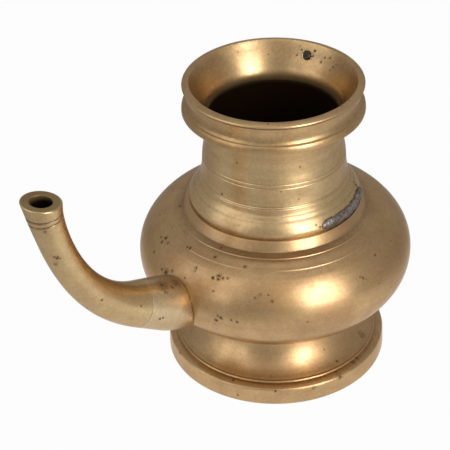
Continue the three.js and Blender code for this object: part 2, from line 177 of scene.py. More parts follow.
def bezier(points: Sequence[Corner], steps: int) -> list[Corner]:
    """Samples a Bezier curve of any degree.

    Args:
        points: The control points, ends included.
        steps: How many stretches to cut it into.

    Returns:
        The sampled corners, ends included.
    """
    found = []
    for i in range(steps + 1):
        t = i / steps
        level = [p.place() for p in points]
        while len(level) > 1:
            level = [a.lerp(b, t) for a, b in zip(level, level[1:])]
        found.append(Corner(level[0].x, level[0].y))
    return found


def smooth(points: Profile, base: float, steps: int = 8) -> list[Corner]:
    """Runs a smooth curve through points of an outline.

    Args:
        points: The points as (radius, rise).
        base: The height that the rises count from.
        steps: How many stretches lie between two points.

    Returns:
        The sampled corners, ends included.
    """
    places = [Vector((radius, base + rise)) for radius, rise in points]
    places = [places[0] * 2 - places[1], *places, places[-1] * 2 - places[-2]]
    found = []
    for a, b, c, d in zip(places, places[1:], places[2:], places[3:]):
        for k in range(steps):
            t = k / steps
            place = (b * 2 + (c - a) * t + (a * 2 - b * 5 + c * 4 - d) * t * t
                     + (b * 3 - a - c * 3 + d) * t ** 3) / 2
            found.append(Corner(place.x, place.y))
    found.append(Corner(places[-2].x, places[-2].y))
    return found


def rounded(corners: Sequence[Corner], steps: int = 5) -> list[Vector]:
    """Rounds the corners that have a fillet, over as many points of the outline as it covers.

    Args:
        corners: The closed outline's corners in order.
        steps: How many stretches each rounding has.

    Returns:
        The outline's points as (radius, height).
    """
    places = [corner.place() for corner in corners]
    runs = [0.0]
    for start, end in zip(places, places[1:] + places[:1]):
        runs.append(runs[-1] + (end - start).length)
    total = runs.pop()

    def along(run: float) -> Vector:
        """Walks along the closed outline.

        Args:
            run: How far to walk from its first corner.

        Returns:
            The point reached.
        """
        run %= total
        i = bisect_right(runs, run) - 1
        span = (runs[i + 1] if i + 1 < len(runs) else total) - runs[i]
        return places[i].lerp(places[(i + 1) % len(places)], (run - runs[i]) / max(span, 1e-9))

    soft = [i for i, corner in enumerate(corners) if corner.fillet > 0]
    reaches = {}
    for k, i in enumerate(soft):
        back = (runs[i] - runs[soft[k - 1]]) % total or total
        ahead = (runs[soft[(k + 1) % len(soft)]] - runs[i]) % total or total
        fillet = corners[i].fillet
        reaches[i] = (min(fillet, back * FILLET_SHARE), min(fillet, ahead * FILLET_SHARE))
    points = []
    for i, place in enumerate(places):
        if i in reaches:
            back, ahead = reaches[i]
            start = along(runs[i] - back)
            end = along(runs[i] + ahead)
            for k in range(steps + 1):
                t = k / steps
                points.append(start.lerp(place, t).lerp(place.lerp(end, t), t))
            continue
        covered = any((runs[j] - runs[i]) % total < back or (runs[i] - runs[j]) % total < ahead
                      for j, (back, ahead) in reaches.items())
        if not covered:
            points.append(place)
    return points


def refined(points: Sequence[Vector], longest: float) -> list[Vector]:
    """Cuts long stretches of a closed outline so that no stretch is longer than a limit.

    Args:
        points: The outline's points.
        longest: The longest stretch allowed, in the outline's own unit.

    Returns:
        The finer outline.
    """
    found = []
    for start, end in zip(points, [*points[1:], points[0]]):
        if (end - start).length < 1e-5:
            continue
        cuts = max(1, math.ceil((end - start).length / longest))
        found.extend(start.lerp(end, k / cuts) for k in range(cuts))
    return found


def grooved(corners: Sequence[Corner], middles: Sequence[float], depth: float, width: float) -> list[Corner]:
    """Cuts small turned lines into a rising outline.

    Args:
        corners: The outline's corners, rising.
        middles: The heights of the lines.
        depth: Their depth.
        width: Their width.

    Returns:
        The outline with the lines.
    """
    kept = [c for c in corners if all(abs(c.height - m) > 0.55 * width for m in middles)]
    for middle in middles:
        below = [c for c in corners if c.height <= middle][-1]
        kept.append(Corner(below.radius, middle - width / 2, GROOVE_EDGE))
        kept.append(Corner(below.radius - depth, middle, GROOVE_ROOT))
        kept.append(Corner(below.radius, middle + width / 2, GROOVE_EDGE))
    return sorted(kept, key=lambda corner: corner.height)


# Meshes


def edge_measures(points: Sequence[Vector], reach: float) -> list[float]:
    """Measures how sharply a closed outline turns at each point.

    Args:
        points: The outline, running counter-clockwise seen with the axis at its left.
        reach: How far on each side of a point to look, in the outline's unit.

    Returns:
        The turn in radians at each point: above 0 on an outer edge, below 0 in a corner.
    """
    count = len(points)

    def ahead(start: int, step: int) -> Vector:
        """Walks about reach along the outline.

        Args:
            start: The point to start from.
            step: 1 to walk onwards, -1 to walk back.

        Returns:
            The point reached.
        """
        left = reach
        i = start
        while True:
            j = i + step
            piece = points[j % count] - points[i % count]
            if piece.length >= left or abs(j - start) >= count:
                return points[i % count] + piece.normalized() * left
            left -= piece.length
            i = j

    turns = []
    for i, here in enumerate(points):
        coming = here - ahead(i, -1)
        going = ahead(i, 1) - here
        if coming.length < 1e-6 or going.length < 1e-6:
            turns.append(0.0)
            continue
        turns.append(math.atan2(coming.cross(going), coming.dot(going)))
    return turns


def new_float(bm: bmesh.types.BMesh, name: str) -> bmesh.types.BMLayerItem:
    """Returns the mesh's float layer of that name, made if need be."""
    return bm.verts.layers.float.get(name) or bm.verts.layers.float.new(name)


@dataclass(frozen=True)
class SoilAndShadeBand:
    """A ring of old dirt and painted shade round a turned piece.

    Args:
        height: Its height, in millimetres.
        reach: How far it spreads above and below, in millimetres.
        strength: How dark it is at its middle, from 0 to 1.
        beyond: The radius outside of which it lies, in millimetres.
        within: The radius inside of which it lies, in millimetres.
    """

    height: float
    reach: float
    strength: float
    beyond: float = 0.0
    within: float = math.inf

    def at(self, place: Vector) -> float:
        """Measures the darkening at a point of the outline.

        Args:
            place: The point, as (radius, height).

        Returns:
            How dark it is, from 0 to 1.
        """
        if not self.beyond <= place.x <= self.within:
            return 0.0
        share = max(0.0, 1 - abs(place.y - self.height) / self.reach)
        return self.strength * share


@dataclass
class Turning:
    """Turns an outline into a closed mesh, with its run along the outline, its wear and dirt, and its
    painted shade and highlights stored on it.

    Args:
        outline: The closed outline, in millimetres, as (radius, height).
        around: How many steps the turn has.
        reach: The distance over which edges and corners are measured, in millimetres.
        soil_and_shade: The rings of old dirt and painted shade on its outside.
        crease: How dark its corners are painted, as dirt and painted shade, from 0 to 1.
        polish_and_highlight: How bright its edges are painted, as rubbed wear and painted highlight, from 0
            to 1.
        inside: Gives how deep inside the pot a point of the outline lies, from 0 to 1, where it is painted
            as shade.
    """

    outline: list[Vector]
    around: int = AROUND
    reach: float = 0.5
    soil_and_shade: Sequence[SoilAndShadeBand] = ()
    crease: float = 0.6
    polish_and_highlight: float = 1.0
    inside: Optional[Callable[[Vector], float]] = None

    def mesh(self) -> bmesh.types.BMesh:
        """Spins the outline about the Z axis.

        Returns:
            The closed mesh, in millimetres.
        """
        bm = bmesh.new()
        run = new_float(bm, "turn")
        wear_and_highlight = new_float(bm, "wear_and_highlight")
        dirt_and_shade = new_float(bm, "dirt_and_shade")
        grime_and_shade = new_float(bm, "grime_and_shade")
        inside = new_float(bm, "inside")
        area = sum(a.cross(b) for a, b in zip(self.outline, self.outline[1:] + self.outline[:1]))
        way = 1.0 if area > 0 else -1.0
        turns = edge_measures(self.outline, self.reach)
        length = 0.0
        verts = []
        for i, place in enumerate(self.outline):
            if i:
                length += (place - self.outline[i - 1]).length
            vert = bm.verts.new((place.x, 0.0, place.y))
            vert[run] = length
            # Outer edges are painted brighter: rubbed wear and painted highlight.
            vert[wear_and_highlight] = max(0.0, turns[i] * way) * self.polish_and_highlight
            # Inner corners are painted darker: dirt and painted shade.
            vert[dirt_and_shade] = max(0.0, -turns[i] * way) * self.crease
            # Points inside the pot are painted as shade.
            vert[inside] = self.inside(place) if self.inside else 0.0
            # Rings of dirt and painted shade, kept off the pot's inside.
            vert[grime_and_shade] = max((band.at(place) for band in self.soil_and_shade), default=0.0) * (1 - vert[inside])
            verts.append(vert)
        edges = [bm.edges.new((a, b)) for a, b in zip(verts, verts[1:] + verts[:1])]
        bmesh.ops.spin(bm, geom=verts + edges, cent=(0, 0, 0), axis=(0, 0, 1), angle=2 * math.pi,
                       steps=self.around, use_merge=True, use_duplicate=False)
        bmesh.ops.remove_doubles(bm, verts=bm.verts, dist=1e-4)
        bmesh.ops.recalc_face_normals(bm, faces=bm.faces)
        return bm


def waver(bm: bmesh.types.BMesh, size: float, depth: float, seed: float) -> None:
    """Presses a mesh in by a slow, uneven amount, as hand work leaves it.

    Args:
        bm: The mesh, in millimetres.
        size: The width of the unevenness, in millimetres.
        depth: The greatest depth, in millimetres.
        seed: A shift of the pattern, so that pieces differ.
    """
    bm.normal_update()
    shift = Vector((seed, -seed, 2 * seed))
    moves = []
    for vert in bm.verts:
        amount = (noise.noise(vert.co / size + shift) - 1) / 2
        moves.append(vert.normal * amount * depth)
    for vert, move in zip(bm.verts, moves):
        vert.co += Vector((move.x, move.y, 0.0))


def finished_object(name: str, bm: bmesh.types.BMesh, shift: Vector) -> bpy.types.Object:
    """Makes the object from a mesh in millimetres about the pot's axis.

    Args:
        name: The piece's name.
        bm: The mesh, which is freed.
        shift: Where the pot's axis stands, in metres.

    Returns:
        The object, at the origin, with its place in its mesh.
    """
    bmesh.ops.scale(bm, vec=(MM, MM, MM), verts=bm.verts)
    bmesh.ops.translate(bm, vec=shift, verts=bm.verts)
    run = bm.verts.layers.float.get("turn")
    if run:
        for vert in bm.verts:
            vert[run] *= MM
    for face in bm.faces:
        face.smooth = True
    mesh = bpy.data.meshes.new(name)
    bm.to_mesh(mesh)
    bm.free()
    return linked(name, mesh)


def settle(piece: bpy.types.Object, material: bpy.types.Material, node: str) -> bpy.types.Object:
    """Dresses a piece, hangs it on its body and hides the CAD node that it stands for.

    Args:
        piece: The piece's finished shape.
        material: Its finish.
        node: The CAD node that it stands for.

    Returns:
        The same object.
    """
    piece.data.materials.append(material)
    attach(piece, Body.ROOT.value)
    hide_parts(node)
    return piece


def cut_out(piece: bpy.types.Object, tool: bpy.types.Object) -> None:
    """Cuts one object with another and drops the tool.

    Args:
        piece: The object that is cut.
        tool: The closed shape that it loses.
    """
    change = piece.modifiers.new("cut", "BOOLEAN")
    change.operation = "DIFFERENCE"
    change.solver = "EXACT"
    change.object = tool
    depsgraph = bpy.context.evaluated_depsgraph_get()
    cut_mesh = bpy.data.meshes.new_from_object(piece.evaluated_get(depsgraph), depsgraph=depsgraph)
    piece.modifiers.clear()
    old = piece.data
    piece.data = cut_mesh
    bpy.data.meshes.remove(old)
    bpy.data.objects.remove(tool)


def store_nearness(piece: bpy.types.Object, other: bpy.types.Object, reach: float) -> None:
    """Stores on a piece how near each of its points is to another piece.

    Args:
        piece: The piece that keeps the measure, 1 where they touch.
        other: The piece that it meets.
        reach: The distance in metres at which the measure has fallen to 0.
    """
    tree = surface(other)
    near = piece.data.attributes.new("near", "FLOAT", "POINT")
    for vert in piece.data.vertices:
        place = tree.find_nearest(vert.co, reach)[0]
        share = 1 - (vert.co - place).length / reach if place is not None else 0.0
        near.data[vert.index].value = max(0.0, share)


# Camera


@dataclass(frozen=True)
class PhotoView:
    """The photograph's viewpoint, as fitted to the pot's ellipses.

    Args:
        azimuth: Turn of the view about Z, in degrees; 0 looks along +Y.
        elevation: Height of the view above the horizon, in degrees.
        roll: Tilt of the camera about its own line of sight, in degrees.
        distance: From the camera to the point it looks at, in metres.
        focal: Focal length in pixels of the 450-pixel frame.
        aim_left: How far left of the axis it looks, seen from the camera, in metres.
        aim_height: The height that it looks at, in metres.
    """

    azimuth: float = -41.3
    elevation: float = 34.283
    roll: float = -1.847
    distance: float = 0.9414
    focal: float = 1600.0
    aim_left: float = 0.02927
    aim_height: float = 0.0833

    def level_right(self) -> Vector:
        """Returns the camera's right before it is tilted."""
        turn = math.radians(self.azimuth)
        return Vector((math.cos(turn), math.sin(turn), 0.0))

    def axes(self) -> tuple[Vector, Vector, Vector]:
        """Turns and tilts the camera's own axes.

        Returns:
            Its right, up and back directions.
        """
        back = outward(self.azimuth, self.elevation)
        right = self.level_right()
        up = back.cross(right)
        roll = math.radians(self.roll)
        tilted_right = right * math.cos(roll) + up * math.sin(roll)
        tilted_up = up * math.cos(roll) - right * math.sin(roll)
        return tilted_right, tilted_up, back

    def place(self) -> Vector:
        """Returns where the camera stands."""
        aim = pot_axis() - self.level_right() * self.aim_left + Vector((0, 0, self.aim_height))
        return aim + self.axes()[2] * self.distance

    def ray(self, x: float, y: float) -> Vector:
        """Looks through a pixel of the photograph.

        Args:
            x: The pixel's column.
            y: The pixel's row.

        Returns:
            The direction seen there.
        """
        right, up, back = self.axes()
        middle = IMAGE_SIZE / 2
        return (right * ((x - middle) / self.focal) - up * ((y - middle) / self.focal) - back).normalized()

    def build(self) -> bpy.types.Object:
        """Makes the camera and has the scene use it.

        Returns:
            The camera.
        """
        data = bpy.data.cameras.new("photo_camera")
        data.sensor_width = 36.0
        data.lens = self.focal / IMAGE_SIZE * data.sensor_width
        data.clip_start = 0.01
        camera = linked("photo_camera", data)
        right, up, back = self.axes()
        turn = Matrix((right, up, back)).transposed().to_4x4()
        camera.matrix_world = Matrix.Translation(self.place()) @ turn
        bpy.context.scene.camera = camera
        return camera


VIEW = PhotoView()


@dataclass(frozen=True)
class Mark:
    """A spot seen in the photograph.

    Args:
        x: Its pixel column.
        y: Its pixel row.
        radius: Its radius in millimetres.
        strength: How dark it is, from 0 to 1.
    """

    x: float
    y: float
    radius: float
    strength: float


def spots_on(piece: bpy.types.Object, marks: Sequence[Mark]) -> list[tuple[Vector, Mark]]:
    """Finds where marks of the photograph lie on a piece.

    Args:
        piece: The piece that carries them.
        marks: The marks.

    Returns:
        Each mark that meets the piece, with its place in metres.
    """
    tree = surface(piece)
    found = []
    for mark in marks:
        place = tree.ray_cast(VIEW.place(), VIEW.ray(mark.x, mark.y))[0]
        if place is not None:
            found.append((place, mark))
    return found


# Shader helpers


@dataclass
class Wiring:
    """Adds and joins nodes in one node tree.

    Args:
        tree: The tree that is being wired.
    """

    tree: bpy.types.NodeTree

    def node(self, kind: str, **settings: object) -> bpy.types.Node:
        """Adds a node.

        Args:
            kind: The node's type.
            settings: Its settings by name.

        Returns:
            The node.
        """
        made = self.tree.nodes.new(kind)
        for key, value in settings.items():
            setattr(made, key, value)
        return made

    def feed(self, socket: bpy.types.NodeSocket, value: object) -> None:
        """Joins a socket to an input, or sets the input to a value.

        Args:
            socket: The input.
            value: The socket or value; None leaves the input as it is.
        """
        if isinstance(value, bpy.types.NodeSocket):
            self.tree.links.new(value, socket)
        elif value is not None:
            socket.default_value = value

    def math(self, operation: str, a: object, b: object, clamp: bool = False) -> bpy.types.NodeSocket:
        """Adds a Math node.

        Args:
            operation: What it works out.
            a: Its first value.
            b: Its second value.
            clamp: Whether the result is kept from 0 to 1.

        Returns:
            The result.
        """
        made = self.node("ShaderNodeMath", operation=operation, use_clamp=clamp)
        self.feed(made.inputs[0], a)
        self.feed(made.inputs[1], b)
        return made.outputs[0]

    def plus(self, a: object, b: object) -> bpy.types.NodeSocket:
        """Returns a sum."""
        return self.math("ADD", a, b)

    def minus(self, a: object, b: object) -> bpy.types.NodeSocket:
        """Returns a difference."""
        return self.math("SUBTRACT", a, b)

    def times(self, a: object, b: object) -> bpy.types.NodeSocket:
        """Returns a product."""
        return self.math("MULTIPLY", a, b)

    def larger(self, a: object, b: object) -> bpy.types.NodeSocket:
        """Returns the larger of two values."""
        return self.math("MAXIMUM", a, b)

    def ramp(self, value: object, low: float, high: float, to_low: float = 0.0,
             to_high: float = 1.0) -> bpy.types.NodeSocket:
        """Maps a value onto another range, smoothly and within its ends.

        Args:
            value: The value.
            low: Where the range starts.
            high: Where it ends.
            to_low: The result at its start.
            to_high: The result at its end.

        Returns:
            The result.
        """
        made = self.node("ShaderNodeMapRange", interpolation_type="SMOOTHSTEP", clamp=True)
        self.feed(made.inputs["Value"], value)
        made.inputs["From Min"].default_value = low
        made.inputs["From Max"].default_value = high
        made.inputs["To Min"].default_value = to_low
        made.inputs["To Max"].default_value = to_high
        return made.outputs["Result"]

    def noise(self, vector: object, scale: float, detail: float = 2.0, rough: float = 0.5,
              distort: float = 0.0) -> bpy.types.NodeSocket:
        """Adds a noise that fills space.

        Args:
            vector: The position.
            scale: How fine it is, in waves to the metre.
            detail: How many finer layers it has.
            rough: How strong the finer layers are.
            distort: How far it is bent.

        Returns:
            The noise, from 0 to 1.
        """
        made = self.node("ShaderNodeTexNoise", noise_dimensions="3D")
        self.feed(made.inputs["Vector"], vector)
        made.inputs["Scale"].default_value = scale
        made.inputs["Detail"].default_value = detail
        made.inputs["Roughness"].default_value = rough
        made.inputs["Distortion"].default_value = distort
        return made.outputs["Fac"]

    def noise_along(self, value: object, scale: float, detail: float = 1.0) -> bpy.types.NodeSocket:
        """Adds a noise that runs along one measure.

        Args:
            value: The measure.
            scale: How fine it is, in waves to the metre.
            detail: How many finer layers it has.

        Returns:
            The noise, from 0 to 1.
        """
        made = self.node("ShaderNodeTexNoise", noise_dimensions="1D")
        self.feed(made.inputs["W"], value)
        made.inputs["Scale"].default_value = scale
        made.inputs["Detail"].default_value = detail
        return made.outputs["Fac"]

    def blend(self, share: object, a: object, b: object) -> bpy.types.NodeSocket:
        """Mixes two colours.

        Args:
            share: How much of the second there is, from 0 to 1.
            a: The first colour.
            b: The second colour.

        Returns:
            The mixed colour.
        """
        made = self.node("ShaderNodeMix", data_type="RGBA")
        self.feed(made.inputs["Factor"], share)
        self.feed(made.inputs["A"], a)
        self.feed(made.inputs["B"], b)
        return made.outputs["Result"]

    def distance(self, vector: object, place: Vector) -> bpy.types.NodeSocket:
        """Measures from a fixed place.

        Args:
            vector: The position.
            place: The fixed place.

        Returns:
            How far the position lies from it.
        """
        made = self.node("ShaderNodeVectorMath", operation="DISTANCE")
        self.feed(made.inputs[0], vector)
        made.inputs[1].default_value = place
        return made.outputs["Value"]

    def bump(self, height: object) -> bpy.types.NodeSocket:
        """Makes a relief.

        Args:
            height: Its height, in metres.

        Returns:
            The normal that it gives.
        """
        made = self.node("ShaderNodeBump")
        made.inputs["Strength"].default_value = 1.0
        made.inputs["Distance"].default_value = 1.0
        self.feed(made.inputs["Height"], height)
        return made.outputs["Normal"]

    def attribute(self, name: str) -> bpy.types.NodeSocket:
        """Returns the value that the mesh stores under a name."""
        return self.node("ShaderNodeAttribute", attribute_name=name).outputs["Fac"]


Rgb = tuple[float, float, float, float]


def new_material(name: str) -> tuple[bpy.types.Material, Wiring, bpy.types.Node]:
    """Makes a material.

    Args:
        name: The material's name.

    Returns:
        The material, its wiring and its Principled shader.
    """
    made = bpy.data.materials.new(name)
    made.use_nodes = True
    return made, Wiring(made.node_tree), made.node_tree.nodes["Principled BSDF"]


def new_group(
    name: str, inputs: Sequence[tuple[str, str, object]], outputs: Sequence[tuple[str, str]],
) -> tuple[bpy.types.NodeTree, bpy.types.Node, bpy.types.Node]:
    """Makes an empty shader node group.

    Args:
        name: The group's name.
        inputs: Its inputs as (name, socket kind, default).
        outputs: Its outputs as (name, socket kind).

    Returns:
        The group, its input node and its output node.
    """
    tree = bpy.data.node_groups.new(name, "ShaderNodeTree")
    for label, kind, default in inputs:
        socket = tree.interface.new_socket(name=label, in_out="INPUT", socket_type=kind)
        if default is not None:
            socket.default_value = default
    for label, kind in outputs:
        tree.interface.new_socket(name=label, in_out="OUTPUT", socket_type=kind)
    return tree, tree.nodes.new("NodeGroupInput"), tree.nodes.new("NodeGroupOutput")


def lathe_lines_group() -> bpy.types.NodeTree:
    """Makes the fine rings that a lathe's tool leaves, broken up by wear.

    Returns:
        The group, which gives fine and broad rings as masks.
    """
    tree, source, sink = new_group(
        "lathe_lines",
        [("Vector", "NodeSocketVector", None)],
        [("Fine", "NodeSocketFloat"), ("Broad", "NodeSocketFloat")],
    )
    wire = Wiring(tree)
    run = wire.attribute("turn")
    hair = wire.ramp(wire.noise_along(run, 2600.0, 1.0), 0.35, 0.7)
    thread = wire.ramp(wire.noise_along(run, 900.0, 1.0), 0.38, 0.68)
    worn = wire.ramp(wire.noise(source.outputs["Vector"], 45.0, 3.0, 0.6), 0.35, 0.65)
    rings = wire.plus(wire.times(hair, 0.5), wire.times(thread, 0.5))
    wire.feed(sink.inputs["Fine"], wire.times(rings, worn))
    wire.feed(sink.inputs["Broad"], wire.noise_along(run, 260.0, 2.0))
    return tree


def casting_pits_group() -> bpy.types.NodeTree:
    """Makes small round pits scattered by chance over cast metal.

    Returns:
        The group, which gives the pits as a mask.
    """
    tree, source, sink = new_group(
        "casting_pits",
        [("Vector", "NodeSocketVector", None), ("Scale", "NodeSocketFloat", 160.0)],
        [("Pits", "NodeSocketFloat")],
    )
    wire = Wiring(tree)
    cells = wire.node("ShaderNodeTexVoronoi", voronoi_dimensions="3D", feature="F1")
    bent = wire.node("ShaderNodeTexNoise", noise_dimensions="3D")
    wire.feed(bent.inputs["Vector"], source.outputs["Vector"])
    bent.inputs["Scale"].default_value = 900.0
    spread = wire.node("ShaderNodeVectorMath", operation="SCALE")
    wire.feed(spread.inputs[0], bent.outputs["Color"])
    spread.inputs["Scale"].default_value = 1.5 * MM
    moved = wire.node("ShaderNodeVectorMath", operation="ADD")
    wire.feed(moved.inputs[0], source.outputs["Vector"])
    wire.feed(moved.inputs[1], spread.outputs["Vector"])
    wire.feed(cells.inputs["Vector"], moved.outputs["Vector"])
    wire.feed(cells.inputs["Scale"], source.outputs["Scale"])
    chance = wire.node("ShaderNodeSeparateColor")
    wire.feed(chance.inputs["Color"], cells.outputs["Color"])
    size = wire.ramp(chance.outputs["Red"], 0.75, 1.0, 0.0, 0.13)
    depth = wire.minus(size, cells.outputs["Distance"])
    specks = wire.ramp(wire.noise(source.outputs["Vector"], 760.0, 3.0, 0.7), 0.66, 0.76, 0.0, 0.55)
    wire.feed(sink.inputs["Pits"], wire.larger(wire.ramp(depth, 0.0, 0.08), specks))
    return tree


def patina_group() -> bpy.types.NodeTree:
    """Makes the uneven tone of old, handled brass, with painted shade in its corners, bands and inside and
    painted highlights on its edges.

    Returns:
        The group, which gives the tone and two masks: what is dull, and what lies inside, which is painted
        as shade.
    """
    tree, source, sink = new_group(
        "patina",
        [("Vector", "NodeSocketVector", None), ("Bright", "NodeSocketColor", None),
         ("Brown", "NodeSocketColor", None), ("Dark", "NodeSocketColor", None),
         ("Worn", "NodeSocketColor", None), ("Tarnish", "NodeSocketFloat", 0.5)],
        [("Color", "NodeSocketColor"), ("Dull", "NodeSocketFloat"), ("Inside", "NodeSocketFloat")],
    )
    wire = Wiring(tree)
    vector = source.outputs["Vector"]
    cloud = wire.noise(vector, 22.0, 4.0, 0.6, 0.4)
    mottle = wire.noise(vector, 95.0, 5.0, 0.65)
    speck = wire.noise(vector, 620.0, 3.0, 0.7)
    mixed = wire.plus(wire.times(cloud, 0.55), wire.times(mottle, 0.45))
    brown = wire.times(wire.ramp(mixed, 0.36, 0.68), source.outputs["Tarnish"])
    # Dirt and painted shade in the inner corners and bands, and dirt along the seam
    corner = wire.ramp(wire.attribute("dirt_and_shade"), 0.15, 1.1)
    uneven = wire.times(wire.minus(mottle, 0.5), 0.7)
    soil_and_shade = wire.attribute("grime_and_shade")
    soil_and_shade = wire.ramp(wire.plus(soil_and_shade, wire.times(uneven, soil_and_shade)), 0.05, 0.95)
    seam = wire.ramp(wire.attribute("near"), 0.9, 0.99, 0.0, 0.2)
    dirt_and_shade = wire.larger(wire.larger(corner, soil_and_shade), seam)
    crust_and_shade = wire.times(dirt_and_shade, wire.ramp(speck, 0.2, 0.6, 0.6, 1.0))
    wear_and_highlight = wire.ramp(wire.attribute("wear_and_highlight"), 0.3, 1.1)
    shine = wire.times(wear_and_highlight, wire.ramp(mottle, 0.3, 0.6, 0.5, 1.0))
    tone = wire.blend(brown, source.outputs["Bright"], source.outputs["Brown"])
    grain = wire.ramp(speck, 0.3, 0.75, 0.0, 0.2)
    tone = wire.blend(grain, tone, source.outputs["Dark"])
    # The dirt and painted shade turn dark
    tone = wire.blend(wire.times(crust_and_shade, 0.85), tone, source.outputs["Dark"])
    # Rubbed wear and painted highlights brighten the edges
    tone = wire.blend(wire.times(shine, 0.8), tone, source.outputs["Worn"])
    # The pot's inside, painted as shade
    inside = wire.ramp(wire.attribute("inside"), 0.0, 1.0)
    wire.feed(sink.inputs["Color"], tone)
    dull = wire.larger(wire.times(brown, 0.6), crust_and_shade)
    dull = wire.math("SUBTRACT", dull, wire.times(shine, 0.5), clamp=True)
    wire.feed(sink.inputs["Dull"], wire.larger(dull, inside))
    wire.feed(sink.inputs["Inside"], inside)
    return tree


@dataclass
class Effects:
    """The shared shader groups, each built once."""

    lines: bpy.types.NodeTree = field(default_factory=lathe_lines_group)
    pits: bpy.types.NodeTree = field(default_factory=casting_pits_group)
    patina: bpy.types.NodeTree = field(default_factory=patina_group)


